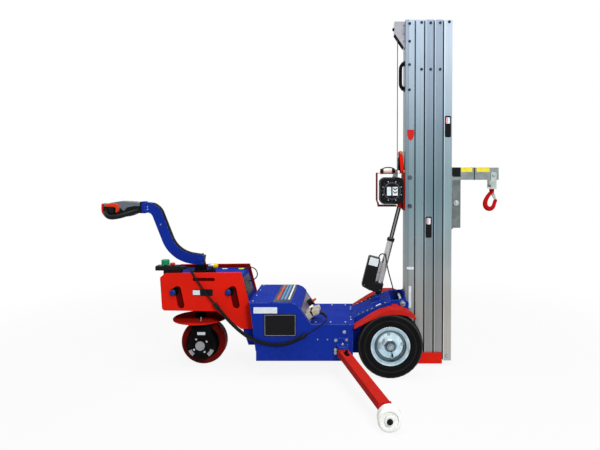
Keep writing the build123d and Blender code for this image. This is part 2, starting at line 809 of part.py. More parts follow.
guide_top = (87.0, 1382.0)
with BuildPart() as rope_guide_arm:
    lean = atan2(guide_top[1] - guide_z, guide_top[0] - guide_x)
    across = (-sin(lean) * 11.5, cos(lean) * 11.5)
    for low, high in ((-38, -30), (30, 38)):
        slab(
            [
                (guide_x + across[0], guide_z + across[1]),
                (guide_top[0] + across[0], guide_top[1] + across[1]),
                (guide_top[0] - across[0], guide_top[1] - across[1]),
                (guide_x - across[0], guide_z - across[1]),
            ],
            low,
            high,
        )
        bar_y(guide_x, guide_z, 11.5, low, high)
        bar_y(guide_top[0], guide_top[1], 11.5, low, high)
        bar_y(guide_x, guide_z, 6 + running, low, high, Mode.SUBTRACT)
    bar_y(guide_top[0] + 1, guide_top[1], 10, -30, 30)

# Rope head: guard over the top sheave, with the sheave's pin
sheave_x = drum_x + rope_pitch_r + sheave_pitch_r
with BuildPart() as rope_head:
    cap_top = sheave_z + 63
    cap_tip = sheave_z - 105
    rope_x = drum_x + rope_pitch_r
    slab(
        [(44, cap_top), (112, cap_top), (112, cap_tip), (106, cap_tip), (44, sheave_z - 13)],
        -36,
        36,
    )
    slab(
        [(47, cap_top - 3), (120, cap_top - 3), (120, cap_tip - 8), (109, cap_tip), (47, sheave_z - 12)],
        -33,
        33,
        Mode.SUBTRACT,
    )
    block(rope_x - 9, rope_x + 9, -8, 8, sheave_z - 75, sheave_z - 15, Mode.SUBTRACT)
    bar_y(sheave_x, sheave_z, 8, -36, 36)
    for sign in (-1, 1):
        low, high = sorted((sign * 9, sign * 33))
        bar_y(sheave_x, sheave_z, 12, low, high)

with BuildPart() as head_sheave:
    turned_y(
        [
            (8 + running, -7.5), (38, -7.5), (38, -5), (29.6, -3.4), (29.6, 3.4), (38, 5), (38, 7.5),
            (8 + running, 7.5),
        ],
        sheave_x,
        0,
        sheave_z,
    )

handle_top = sheave_z - 201
handle_low = handle_top - 168
with BuildPart() as carry_handle:
    with BuildSketch(Plane.XZ.offset(-9)):
        with BuildLine():
            Polyline(
                *placed(
                    [
                        (112, handle_top), (101, handle_top), (86, handle_top - 26), (86, handle_low + 30),
                        (101, handle_low), (112, handle_low),
                    ]
                )
            )
        trace(line_width=17)
    extrude(amount=18)
    for z in (handle_top, handle_low):
        block(106, 112, -13, 13, z - 16, z + 16)
    block(112, 140, -40, 40, handle_low - 96, handle_top + 36, Mode.SUBTRACT)

# Hoist rope: up from the drum, over the sheave and down inside the first section
with BuildPart() as hoist_rope:
    with BuildLine() as rope_route:
        up = Line((at(drum_x + rope_pitch_r), 0, drum_z), (at(drum_x + rope_pitch_r), 0, sheave_z))
        over = ThreePointArc(
            up @ 1,
            (at(sheave_x), 0, sheave_z + sheave_pitch_r),
            (at(sheave_x + sheave_pitch_r), 0, sheave_z),
        )
        Line(over @ 1, (at(sheave_x + sheave_pitch_r), 0, 60))
    with BuildSketch(Plane(origin=rope_route.line @ 0, z_dir=rope_route.line % 0)):
        Circle(rope_r)
    sweep()

# Boom: post on the carriage and the hollow tube that carries the hook
boom_low = 1205.0
boom_high = 1285.0
hook_x = front_reach - 34.0
hook_pin_z = 1232.0
with BuildPart() as boom:
    block(411.5, 425, -42, 42, 884, 1232)
    block(425, 478, -26, 26, 891, boom_low)
    block(429, 474, -22, 22, 880, boom_low - 8, Mode.SUBTRACT)
    block(421, front_reach, -40, 40, boom_low, boom_high)
    block(429, front_reach + 10, -36, 36, boom_low + 4, boom_high - 4, Mode.SUBTRACT)
    block(front_reach - 4, front_reach, -38, 38, boom_low + 2, boom_high - 2)
    bar_y(hook_x, hook_pin_z, 9, -52, 52)

with BuildPart() as hook_link:
    for low, high in ((-49, -42), (42, 49)):
        slab(
            [
                (hook_x - 18, 1146), (hook_x + 18, 1146), (hook_x + 18, 1246), (hook_x + 9, 1256),
                (hook_x - 9, 1256), (hook_x - 18, 1246),
            ],
            low,
            high,
        )
        bar_y(hook_x, hook_pin_z, 9 + running, low, high, Mode.SUBTRACT)
    block(hook_x - 18, hook_x + 18, -49, 49, 1146, 1158)
    bar_z(hook_x, 0, 9 + running, 1140, 1165, Mode.SUBTRACT)

# Sling hook with a swivel shank, and its latch
latch_x = hook_x + 6
latch_z = 1112.0
with BuildPart() as hook:
    bar_z(hook_x, 0, 9, 1128, 1162)
    bar_z(hook_x, 0, 15, 1158.4, 1168)
    bar_z(hook_x, 0, 16, 1121, 1145.6)
    pipe(
        [
            (hook_x, 0, 1128), (hook_x - 22, 0, 1104), (hook_x - 40, 0, 1072), (hook_x - 44, 0, 1046),
            (hook_x - 32, 0, 1020), (hook_x - 10, 0, 1011), (hook_x + 12, 0, 1021), (hook_x + 22, 0, 1042),
            (hook_x + 23, 0, 1060),
        ],
        10.5,
    )
    bar_y(latch_x, latch_z, 4, -14, 14)
    block(hook_x, hook_x + 12, -9, 9, 1106, 1124)

with BuildPart() as hook_latch:
    for low, high in ((-13.5, -9.6), (9.6, 13.5)):
        slab(
            [
                (latch_x - 5, 1108), (latch_x + 7, 1116), (latch_x + 11, 1092), (latch_x + 5.4, 1062),
                (latch_x - 2, 1064), (latch_x, 1090),
            ],
            low,
            high,
        )
        bar_y(latch_x, latch_z, 7.5, low, high)
        bar_y(latch_x, latch_z, 4 + running, low, high, Mode.SUBTRACT)
    slab(
        [(latch_x, 1090), (latch_x + 5.8, 1090), (latch_x + 5.4, 1062), (latch_x - 2, 1064)],
        -13.5,
        13.5,
    )

# Tilt actuator along the line between its pins
act_len = hypot(upper_pin[0] - lower_pin[0], upper_pin[1] - lower_pin[1])
act_dir = ((upper_pin[0] - lower_pin[0]) / act_len, (upper_pin[1] - lower_pin[1]) / act_len)


def along_actuator(t, n):
    """Station and height of a point t along the actuator and n to its front."""
    return (
        lower_pin[0] + act_dir[0] * t + act_dir[1] * n,
        lower_pin[1] + act_dir[1] * t - act_dir[0] * n,
    )


def actuator_plane(t):
    """Plane square to the actuator, t along it from the lower pin."""
    x, z = along_actuator(t, 0)
    return Plane(origin=(at(x), 0, z), x_dir=(0, 1, 0), z_dir=(act_dir[0], 0, act_dir[1]))


tube_end = 386.0
with BuildPart() as actuator_housing:
    slab([along_actuator(t, n) for t, n in ((56, -114), (46, -106), (34, -60), (28, 24), (94, 24), (94, -34),
                                            (248, -36), (252, -44), (252, -106), (244, -114))], -36, 36)
    fillet(actuator_housing.edges().filter_by(Plane.XZ), 7)
    eye = ((40, -13), (-6, -13), (-14, -6), (-14, 6), (-6, 13), (40, 13))
    slab([along_actuator(t, n) for t, n in eye], -13, 13)
    bar_y(lower_pin[0], lower_pin[1], 7 + running, -13, 13, Mode.SUBTRACT)
    with BuildSketch(actuator_plane(60)) as seat:
        Circle(21)
    extrude(seat.sketch, amount=60, mode=Mode.SUBTRACT)

with BuildPart() as actuator_tube:
    with BuildSketch(actuator_plane(60)) as outer_tube:
        Circle(21)
    extrude(outer_tube.sketch, amount=tube_end - 60)
    with BuildSketch(actuator_plane(tube_end - 6)) as collar:
        Circle(24)
    extrude(collar.sketch, amount=18)
    with BuildSketch(actuator_plane(70)) as inner_tube:
        Circle(14 + 0.1)
    extrude(inner_tube.sketch, amount=tube_end, mode=Mode.SUBTRACT)

with BuildPart() as actuator_rod:
    with BuildSketch(actuator_plane(130)) as rod:
        Circle(14)
    extrude(rod.sketch, amount=act_len - 130 - 12)
    bar_y(upper_pin[0], upper_pin[1], 15, -14, 14)
    bar_y(upper_pin[0], upper_pin[1], 9.8, -30, 30, Mode.SUBTRACT)

# Bracket for the actuator's lower pin, on the ramp over the cradle's beam
with BuildPart() as actuator_bracket:
    ramp_at = ramp_rear[1] + ramp_rise * (lower_pin[0] - ramp_rear[0])
    for low, high in ((-26, -17), (17, 26)):
        slab(
            [
                (lower_pin[0] - 38, ramp_at - 38 * ramp_rise), (lower_pin[0] + 38, ramp_at + 38 * ramp_rise),
                (-56, 446), (-64, 452), (-78, 452), (-86, 444),
            ],
            low,
            high,
        )
    foot_rear = (lower_pin[0] - 42, ramp_at - 42 * ramp_rise)
    foot_front = (lower_pin[0] + 42, ramp_at + 42 * ramp_rise)
    foot = [foot_rear, foot_front, (foot_front[0], foot_front[1] + 5), (foot_rear[0], foot_rear[1] + 5)]
    slab(foot, -46, 46)
    bar_y(lower_pin[0], lower_pin[1], 7, -32, 32)

# Cables. The loom runs from the pendant across the plate, through a ribbed conduit, to the connectors
conduit_r = 11.0
conduit_bore_r = 7.6
rib_count = 44
side_y = -chassis_half - conduit_r - seat_gap
conduit_path = [
    (-1083, -190, 422), (-1046, -194, 379), (-1006, -205, 337), (-955, -226, 296), (-912, -247, 269),
    (-866, side_y - 1, 246), (-818, side_y, 224), (-760, side_y, 207), (-697, side_y, 199),
    (-636, side_y, 206), (-579, side_y, 226), (-530, side_y, 254),
]
with BuildPart() as loom_conduit:
    with BuildLine() as conduit_route:
        conduit_corners = [(at(x), y, z) for x, y, z in conduit_path]
        FilletPolyline(*conduit_corners, radius=bend_radii(conduit_corners))
    rings = []
    ring_steps = 4 * rib_count
    for step in range(ring_steps + 1):
        along = step / ring_steps
        ring_plane = Plane(
            origin=conduit_route.line @ along, x_dir=(0, 1, 0), z_dir=conduit_route.line % along
        )
        with BuildSketch(ring_plane) as ring:
            Circle(conduit_r if step % 4 in (1, 2) else conduit_r - 1.6)
        rings.append(ring.sketch.face())
    loft(rings, ruled=True)
    with BuildSketch(Plane(origin=conduit_route.line @ 0, z_dir=conduit_route.line % 0)) as bore:
        Circle(conduit_bore_r)
    sweep(bore.sketch, path=conduit_route.line, mode=Mode.SUBTRACT)

lead_r = 3.4
with BuildPart() as loom_leads:
    for offset in (-3.7, 3.7):
        dx = 0.76 * offset
        dz = 0.65 * offset
        pendant_bend = pipe(
            [
                (-1289.3, pendant_y + offset, 649), (-1272, pendant_y - 2 + offset, 650.5),
                (-1256, -147 + offset / 2, 650), (-1243 + dx, -168, 637 + dz), (-1229 + dx, -178, 616 + dz),
                (-1207 + dx, -183, 583 + dz), (-1175 + dx, -184.5, 537 + dz), (-1135 + dx, -186.5, 482 + dz),
                (-1096 + dx, -189, 437 + dz), (-1068 + dx, -191.6, 404.5 + dz),
            ],
            lead_r,
        )
    connector_bend = pipe(
        [
            (-556, side_y, 239.1), (-518, side_y, 261), (-468, side_y - 6, 290), (-424, -271, 320),
            (-399, -261, 337), (-387, -247, 352), (-393, -233, 368), (-413, -219, 382), (-440, -208, 388),
            (-463.4, -204, 384),
        ],
        3.8,
    )
    housing_bend = pipe(
        [
            (-950, 60, 603), (-930, 60, 615), (-906, 60, 619), (-882, 60, 610), (-866, 60, 590),
            (-862, 60, 566), (-872, 60, 545), (-892, 60, 532), (-916.6, 60, 527),
        ],
        2.6,
    )
print("tightest bends of the leads:", round(pendant_bend), round(connector_bend), round(housing_bend))

with BuildPart() as actuator_lead:
    actuator_bend = pipe(
        [
            (-54, -20, 692.9), (-52.5, -22, 703), (-47.5, -25, 713), (-40, -28.5, 719.5), (-30, -32, 722.5),
            (-20, -35, 720), (-13, -37.5, 712.5), (-9.5, -39.5, 700), (-7, -41.5, 681), (-2, -44, 648),
            (6, -46, 611), (16, -48, 573), (27, -50, 533), (37, -52, 495), (46, -54, 460), (56, -56, 431),
        ],
        3.2,
    )
print("tightest bend of the actuator's lead:", round(actuator_bend))

chassis_frame.part.label = "chassis_frame"
deck_cover.part.label = "deck_cover"
batteries.part.label = "batteries"
box_lid.part.label = "box_lid"
power_connectors.part.label = "power_connectors"
isolator_key.part.label = "isolator_key"
mast_cradle.part.label = "mast_cradle"
main_axle.part.label = "main_axle"
mast_pivot_pin.part.label = "mast_pivot_pin"
fenders.part.label = "fenders"
rear_housing.part.label = "rear_housing"
counterweight_plates.part.label = "counterweight_plates"
counterweight_studs.part.label = "counterweight_studs"
pendant_body.part.label = "pendant_body"
start_knob.part.label = "start_knob"
stop_button.part.label = "stop_button"
steering_column.part.label = "steering_column"
guard_disc.part.label = "guard_disc"
drive_motor.part.label = "drive_motor"
drive_tyre.part.label = "drive_tyre"
drive_hub.part.label = "drive_hub"
tiller_arm.part.label = "tiller_arm"
head_shell.part.label = "head_shell"
head_cover.part.label = "head_cover"
throttle.part.label = "throttle"
safety_button.part.label = "safety_button"
right_tyre.part.label = "right_tyre"
left_tyre.part.label = "left_tyre"
right_rim.part.label = "right_rim"
left_rim.part.label = "left_rim"
outrigger_brackets.part.label = "outrigger_brackets"
right_outrigger.part.label = "right_outrigger"
left_outrigger.part.label = "left_outrigger"
right_roller.part.label = "right_roller"
left_roller.part.label = "left_roller"
mast_section_1.part.label = "mast_section_1"
mast_section_2.part.label = "mast_section_2"
mast_section_3.part.label = "mast_section_3"
mast_section_4.part.label = "mast_section_4"
carriage.part.label = "carriage"
mast_base.part.label = "mast_base"
winch_frame.part.label = "winch_frame"
winch_housing.part.label = "winch_housing"
winch_drum.part.label = "winch_drum"
rope_guide_arm.part.label = "rope_guide_arm"
rope_head.part.label = "rope_head"
head_sheave.part.label = "head_sheave"
carry_handle.part.label = "carry_handle"
hoist_rope.part.label = "hoist_rope"
boom.part.label = "boom"
hook_link.part.label = "hook_link"
hook.part.label = "hook"
hook_latch.part.label = "hook_latch"
actuator_housing.part.label = "actuator_housing"
actuator_tube.part.label = "actuator_tube"
actuator_rod.part.label = "actuator_rod"
actuator_bracket.part.label = "actuator_bracket"
loom_conduit.part.label = "loom_conduit"
loom_leads.part.label = "loom_leads"
actuator_lead.part.label = "actuator_lead"

export_step(chassis_frame.part, "parts/chassis_frame.step")
export_step(deck_cover.part, "parts/deck_cover.step")
export_step(batteries.part, "parts/batteries.step")
export_step(box_lid.part, "parts/box_lid.step")
export_step(power_connectors.part, "parts/power_connectors.step")
export_step(isolator_key.part, "parts/isolator_key.step")
export_step(mast_cradle.part, "parts/mast_cradle.step")
export_step(main_axle.part, "parts/main_axle.step")
export_step(mast_pivot_pin.part, "parts/mast_pivot_pin.step")
export_step(fenders.part, "parts/fenders.step")
export_step(rear_housing.part, "parts/rear_housing.step")
export_step(counterweight_plates.part, "parts/counterweight_plates.step")
export_step(counterweight_studs.part, "parts/counterweight_studs.step")
export_step(pendant_body.part, "parts/pendant_body.step")
export_step(start_knob.part, "parts/start_knob.step")
export_step(stop_button.part, "parts/stop_button.step")
export_step(steering_column.part, "parts/steering_column.step")
export_step(guard_disc.part, "parts/guard_disc.step")
export_step(drive_motor.part, "parts/drive_motor.step")
export_step(drive_tyre.part, "parts/drive_tyre.step")
export_step(drive_hub.part, "parts/drive_hub.step")
export_step(tiller_arm.part, "parts/tiller_arm.step")
export_step(head_shell.part, "parts/head_shell.step")
export_step(head_cover.part, "parts/head_cover.step")
export_step(throttle.part, "parts/throttle.step")
export_step(safety_button.part, "parts/safety_button.step")
export_step(right_tyre.part, "parts/right_tyre.step")
export_step(left_tyre.part, "parts/left_tyre.step")
export_step(right_rim.part, "parts/right_rim.step")
export_step(left_rim.part, "parts/left_rim.step")
export_step(outrigger_brackets.part, "parts/outrigger_brackets.step")
export_step(right_outrigger.part, "parts/right_outrigger.step")
export_step(left_outrigger.part, "parts/left_outrigger.step")
export_step(right_roller.part, "parts/right_roller.step")
export_step(left_roller.part, "parts/left_roller.step")
export_step(mast_section_1.part, "parts/mast_section_1.step")
export_step(mast_section_2.part, "parts/mast_section_2.step")
export_step(mast_section_3.part, "parts/mast_section_3.step")
export_step(mast_section_4.part, "parts/mast_section_4.step")
export_step(carriage.part, "parts/carriage.step")
export_step(mast_base.part, "parts/mast_base.step")
export_step(winch_frame.part, "parts/winch_frame.step")
export_step(winch_housing.part, "parts/winch_housing.step")
export_step(winch_drum.part, "parts/winch_drum.step")
export_step(rope_guide_arm.part, "parts/rope_guide_arm.step")
export_step(rope_head.part, "parts/rope_head.step")
export_step(head_sheave.part, "parts/head_sheave.step")
export_step(carry_handle.part, "parts/carry_handle.step")
export_step(hoist_rope.part, "parts/hoist_rope.step")
export_step(boom.part, "parts/boom.step")
export_step(hook_link.part, "parts/hook_link.step")
export_step(hook.part, "parts/hook.step")
export_step(hook_latch.part, "parts/hook_latch.step")
export_step(actuator_housing.part, "parts/actuator_housing.step")
export_step(actuator_tube.part, "parts/actuator_tube.step")
export_step(actuator_rod.part, "parts/actuator_rod.step")
export_step(actuator_bracket.part, "parts/actuator_bracket.step")
export_step(loom_conduit.part, "parts/loom_conduit.step")
export_step(loom_leads.part, "parts/loom_leads.step")
export_step(actuator_lead.part, "parts/actuator_lead.step")
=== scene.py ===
# %% [markdown]
# # A glazing hoist, dressed for its portrait
# The hoist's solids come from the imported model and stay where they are. This lesson adds what a maker
# would add afterwards: cables, tyres, screws, plates and finishes. Everything is in metres, in the
# model's own frame, and most places are counted forward from the main axle.

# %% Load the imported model
import json
import math

import bmesh
import bpy
import numpy as np
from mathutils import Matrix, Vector


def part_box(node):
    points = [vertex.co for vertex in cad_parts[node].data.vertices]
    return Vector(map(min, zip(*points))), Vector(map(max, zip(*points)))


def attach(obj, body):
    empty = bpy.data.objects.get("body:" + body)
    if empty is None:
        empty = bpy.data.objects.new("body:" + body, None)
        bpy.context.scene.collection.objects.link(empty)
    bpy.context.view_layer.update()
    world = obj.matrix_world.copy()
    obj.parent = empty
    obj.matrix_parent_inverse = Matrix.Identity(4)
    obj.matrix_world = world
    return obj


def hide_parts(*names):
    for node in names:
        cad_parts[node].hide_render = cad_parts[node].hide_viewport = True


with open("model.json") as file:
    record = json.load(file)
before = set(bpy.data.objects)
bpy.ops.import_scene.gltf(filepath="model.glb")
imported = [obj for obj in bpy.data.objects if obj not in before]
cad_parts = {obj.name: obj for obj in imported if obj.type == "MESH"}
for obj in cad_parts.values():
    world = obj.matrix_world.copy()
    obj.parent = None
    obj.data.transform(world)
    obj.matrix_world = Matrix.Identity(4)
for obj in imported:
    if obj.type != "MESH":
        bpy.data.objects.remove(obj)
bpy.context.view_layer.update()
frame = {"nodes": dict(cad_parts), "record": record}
axle_low, axle_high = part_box("main_axle")
AXLE_X = (axle_low[0] + axle_high[0]) / 2
FORWARD, BACKWARD, UP = (1.0, 0.0, 0.0), (-1.0, 0.0, 0.0), (0.0, 0.0, 1.0)
NEAR, FAR = (0.0, -1.0, 0.0), (0.0, 1.0, 0.0)
SIDES = (("right", -1, NEAR), ("left", 1, FAR))
BODIES = frame["record"]["behaviour"]["bodies"]
BODY_OF = {node: body for body, nodes in BODIES.items() for node in nodes}
print("nodes:", len(frame["nodes"]), "axle at x =", round(AXLE_X, 4))

# %% [markdown]
# ## Camera
# The photograph looks square at the machine's right side from a little above its middle. An almost level
# camera with a shifted lens keeps the mast upright, as a view camera does, where a tilted one would make
# it lean.

# %% Camera
IMAGE_W, IMAGE_H = 600, 450
CAMERA_AHEAD, CAMERA_AWAY, CAMERA_HIGH = -0.276, 3.6, 1.282
CAMERA_TILT = 1.4
FOCAL_PIXELS = 548.3
CENTRE_PIXEL = (345.0, 181.4)
SENSOR = 36.0

camera_data = bpy.data.cameras.new("camera")
camera_data.sensor_width = SENSOR
camera_data.lens = FOCAL_PIXELS * SENSOR / IMAGE_W
camera_data.shift_x = (IMAGE_W / 2 - CENTRE_PIXEL[0]) / IMAGE_W
camera_data.shift_y = (CENTRE_PIXEL[1] - IMAGE_H / 2) / IMAGE_W
camera = bpy.data.objects.new("camera", camera_data)
camera.location = (AXLE_X + CAMERA_AHEAD, -CAMERA_AWAY, CAMERA_HIGH)
camera.rotation_euler = (math.radians(90 - CAMERA_TILT), 0, 0)
bpy.context.collection.objects.link(camera)
bpy.context.scene.camera = camera
print("lens", round(camera_data.lens, 2), "mm")

# %% [markdown]
# ## Shapes as arrays
# A shape here is a pair: an array of points and a list of face arrays. A profile can be turned round an
# axis, an outline can be carried straight to make a plate, and a ring can be swept along a path. Each is
# one array calculation, which is quicker to run and to read than adding corners one at a time.


# %% Points and outlines
def unit(vector):
    """Vectors divided by their own length."""
    vector = np.asarray(vector, float)
    return vector / np.linalg.norm(vector, axis=-1, keepdims=True)


def from_axle(points):
    """Points measured forward from the main axle, moved into the model's frame."""
    return np.asarray(points, float) + np.array([AXLE_X, 0.0, 0.0])


def upright(points, across=0.0):
    """Points of (forward, up) from the axle, in an upright plane that lies this far across."""
    forward, up = np.asarray(points, float).T
    return from_axle(np.stack([forward, np.full(len(up), across), up], axis=1))


def around(centre, radius, degrees):
    """Places on an upright circle about a centre, at angles from forward."""
    angle = np.radians(degrees)
    return np.asarray(centre) + radius * np.stack([np.cos(angle), 0 * angle, np.sin(angle)], axis=1)


def ring_of(radius, sides):
    """Points of a circle in (across, up)."""
    angle = np.linspace(0, 2 * np.pi, sides, endpoint=False)
    return radius * np.stack([np.cos(angle), np.sin(angle)], axis=1)


def ring_sector(inner, outer, start, stop, steps=10):
    """Outline between two radii and two angles in degrees: out along one arc and back along the other."""
    angle = np.radians(np.linspace(start, stop, steps))
    arc = np.stack([np.cos(angle), np.sin(angle)], axis=1)
    return np.concatenate([outer * arc, inner * arc[::-1]])


def rounded(width, height, radius, steps=5):
    """Outline of a rectangle with round corners: four quarter circles, joined by straight sides."""
    quarter = np.linspace(0, np.pi / 2, steps)
    angle = (np.arange(4)[:, None] * np.pi / 2 + quarter).ravel()
    signs = np.repeat([[1, 1], [-1, 1], [-1, -1], [1, -1]], steps, axis=0)
    middle = signs * (np.array([width, height]) / 2 - radius)
    return middle + radius * np.stack([np.cos(angle), np.sin(angle)], axis=1)


# %% Shapes
def grid_faces(rows, columns, close_rows=False, close_columns=False):
    """Four-sided faces of a grid of points, joined up at its ends where asked."""
    row = np.arange(rows if close_rows else rows - 1)
    column = np.arange(columns if close_columns else columns - 1)
    a, b = np.meshgrid(row, column, indexing="ij")
    c, d = (a + 1) % rows, (b + 1) % columns
    corners = [a * columns + b, c * columns + b, c * columns + d, a * columns + d]
    return np.stack(corners, axis=-1).reshape(-1, 4)


def turned(profile, sides=32, closed=False):
    """A profile of (radius, height) turned about local Z: each point becomes a ring at its height."""
    radius, height = np.asarray(profile, float).T
    ring = np.c_[ring_of(1.0, sides), np.zeros(sides)]
    points = radius[:, None, None] * ring + height[:, None, None] * np.array(UP)
    return points.reshape(-1, 3), [grid_faces(len(radius), sides, closed, True)]


def prism(outline, low, high):
    """A flat outline in local XY carried from one height to another, closed by a face at each end."""
    outline = np.asarray(outline, float)
    count = len(outline)
    points = np.concatenate([np.c_[outline, np.full(count, height)] for height in (low, high)])
    end = np.arange(count)[None]
    return points, [grid_faces(2, count, False, True), end[:, ::-1], end + count]


def slab(width, height, radius, low, high, steps=5):
    """A plate with round corners, from one height to another."""
    return prism(rounded(width, height, radius, steps), low, high)


def swept(path, ring, side=FAR):
    """A ring of (across, up) points carried along a path; side is the way that across roughly points."""
    path = np.asarray(path, float)
    along = unit(np.gradient(path, axis=0))
    up = unit(np.cross(along, np.broadcast_to(side, along.shape)))
    across = np.cross(up, along)
    ring = np.broadcast_to(ring, (len(path),) + np.shape(ring)[-2:])
    points = path[:, None] + ring[..., :1] * across[:, None] + ring[..., 1:] * up[:, None]
    rows, columns = points.shape[:2]
    end = np.arange(columns)[None]
    faces = [grid_faces(rows, columns, False, True), end[:, ::-1], end + (rows - 1) * columns]
    return points.reshape(-1, 3), faces


def together(*shapes):
    """Several shapes as one."""
    starts = np.cumsum([0] + [len(points) for points, _ in shapes])
    faces = [array + start for (_, arrays), start in zip(shapes, starts) for array in arrays]
    return np.concatenate([points for points, _ in shapes]), faces


def mirrored(outline, inner, outer):
    """An outline carried outwards on both sides of the middle plane."""
    return together(prism(outline, inner, outer), prism(outline, -outer, -inner))


def put(shape, places, out=UP, along=FORWARD):
    """Copies of a shape at each place, with local Z turned to out and local X turned towards along."""
    points, faces = shape
    z = unit(out)
    x = unit(np.asarray(along, float) - np.dot(along, z) * z)
    basis = np.stack([x, np.cross(z, x), z])
    places = np.asarray(places, float).reshape(-1, 1, 3)
    starts = np.arange(len(places))[:, None, None] * len(points)
    copied = [(array[None] + starts).reshape(-1, array.shape[1]) for array in faces]
    return (places + points @ basis).reshape(-1, 3), copied


# %% Seats and pieces
REACH = 3.0
AXLE_FOOT = from_axle([(0.0, 0.0, 0.0)])


def seat(node, places, out):
    """Where a straight line dropped on a CAD node from outside, along -out, meets its surface."""
    solid, out = frame["nodes"][node], np.asarray(out, float)
    starts = from_axle(places) + REACH * out
    hits = [solid.ray_cast(start, (-out).tolist()) for start in starts.tolist()]
    missed = [place for place, hit in zip(places, hits) if not hit[0]]
    if missed:
        raise ValueError(f"{node} isn't under {missed}")
    return np.array([hit[1] for hit in hits])


def piece(name, shape, finish, body, bevel=0.0, sharp=38.0, stands_for=None):
    """An object at the origin from a shape: doubles merged, faces turned outwards, riding on a body.

    Its material is its finish, and it may stand for a CAD node, which it hides."""
    points, faces = shape
    mesh = bpy.data.meshes.new(name)
    mesh.from_pydata(points.tolist(), [], [face for array in faces for face in array.tolist()])
    work = bmesh.new()
    work.from_mesh(mesh)
    bmesh.ops.remove_doubles(work, verts=work.verts, dist=1e-6)
    bmesh.ops.recalc_face_normals(work, faces=work.faces)
    work.to_mesh(mesh)
    work.free()
    mesh.shade_smooth()
    mesh.set_sharp_from_angle(angle=math.radians(sharp))
    mesh.materials.append(finish)
    made = bpy.data.objects.new(name, mesh)
    bpy.context.collection.objects.link(made)
    if bevel:
        rounding = made.modifiers.new("soft_edges", "BEVEL")
        rounding.width = bevel
        rounding.segments = 2
        rounding.limit_method = "ANGLE"
        rounding.angle_limit = math.radians(sharp)
        rounding.harden_normals = True
    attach(made, body)
    if stands_for:
        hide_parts(stands_for)
    print(name, "-", len(mesh.polygons), "faces on", body)
    return made


# %% [markdown]
# ## Shader node helpers
# A material is a small tree of nodes. A few helpers keep each tree readable: one adds a node and fills
# its sockets, and two begin and end a node group, an effect that several materials share with different
# values.

# %% Node helpers
RANGE_SOCKETS = ("Value", "From Min", "From Max", "To Min", "To Max")
SOCKET_KIND = {"VALUE": "Float", "VECTOR": "Vector", "RGBA": "Color"}
TUPLE_KIND = {3: "Vector", 4: "Color"}


def fill(tree, node, inputs):
    """Inputs of a node: one that is itself a socket is linked, and any other value is written in."""
    for key, value in inputs.items():
        if isinstance(value, bpy.types.NodeSocket):
            tree.links.new(value, node.inputs[key])
        else:
            node.inputs[key].default_value = value
    return node


def add(tree, kind, inputs=None, **settings):
    """A shader node with its settings and inputs."""
    made = tree.nodes.new("ShaderNode" + kind)
    for key, value in settings.items():
        setattr(made, key, value)
    return fill(tree, made, inputs or {})


def math_node(tree, operation, *values, clamp=False):
    """The result socket of a Math node."""
    return add(tree, "Math", dict(enumerate(values)), operation=operation, use_clamp=clamp).outputs[0]


def vector_math(tree, operation, *values):
    """The output sockets of a Vector Math node."""
    return add(tree, "VectorMath", dict(enumerate(values)), operation=operation).outputs


def map_range(tree, value, from_low, from_high, to_low=0.0, to_high=1.0):
    """The result socket of a smooth Map Range node."""
    sockets = dict(zip(RANGE_SOCKETS, (value, from_low, from_high, to_low, to_high)))
    return add(tree, "MapRange", sockets, interpolation_type="SMOOTHSTEP").outputs["Result"]


def mix_colour(tree, factor, first, second, blend="MIX"):
    """The colour socket of a Mix node; its colour inputs are the sockets numbered 6 and 7."""
    sockets = {0: factor, 6: first, 7: second}
    return add(tree, "Mix", sockets, data_type="RGBA", blend_type=blend).outputs[2]


def fade(tree, mask, amount, first, second):
    """From one colour towards another by an amount of a mask."""
    return mix_colour(tree, math_node(tree, "MULTIPLY", mask, amount), first, second)


def object_place(tree):
    """The piece's own coordinates, which are the model's frame in metres."""
    return add(tree, "TexCoord").outputs["Object"]


def axes(tree, vector=None):
    """The X, Y and Z sockets of a vector, or of the piece's own coordinates."""
    return add(tree, "SeparateXYZ", {0: object_place(tree) if vector is None else vector}).outputs


def true_normal(tree):
    """The way that a face really looks, without smoothing or bump."""
    return add(tree, "NewGeometry").outputs["True Normal"]


def noise(tree, scale, detail, roughness=0.5, vector=None):
    """A noise value, on the piece's own coordinates unless another vector is given."""
    where = object_place(tree) if vector is None else vector
    sockets = {"Vector": where, "Scale": scale, "Detail": detail, "Roughness": roughness}
    return add(tree, "TexNoise", sockets).outputs["Fac"]


def grey_ramp(tree, value, stops):
    """Greys along a value that starts at zero, given as pairs of value and grey."""
    longest = stops[-1][0]
    ramp = add(tree, "ValToRGB", {"Fac": math_node(tree, "DIVIDE", value, longest)})
    marks = ramp.color_ramp.elements
    marks.remove(marks[1])
    marks[0].color = (stops[0][1],) * 3 + (1.0,)
    for reach, grey in stops[1:]:
        marks.new(reach / longest).color = (grey, grey, grey, 1.0)
    return ramp.outputs["Color"]


def new_group(name, **inputs):
    """A node group whose inputs have the kind of their first values; returns its tree and its inputs."""
    tree = bpy.data.node_groups.new(name, "ShaderNodeTree")
    for label, value in inputs.items():
        kind = "NodeSocket" + ("Float" if isinstance(value, float) else TUPLE_KIND[len(value)])
        tree.interface.new_socket(label, in_out="INPUT", socket_type=kind).default_value = value
    return tree, tree.nodes.new("NodeGroupInput").outputs


def end_group(tree, **outputs):
    """The group's outputs, each of the kind of the socket that feeds it."""
    for label, socket in outputs.items():
        kind = "NodeSocket" + SOCKET_KIND[socket.type]
        tree.interface.new_socket(label, in_out="OUTPUT", socket_type=kind)
    fill(tree, tree.nodes.new("NodeGroupOutput"), outputs)
    return tree


def use_group(tree, group, **inputs):
    """A copy of a group in a material; returns its outputs."""
    return add(tree, "Group", inputs, node_tree=group).outputs
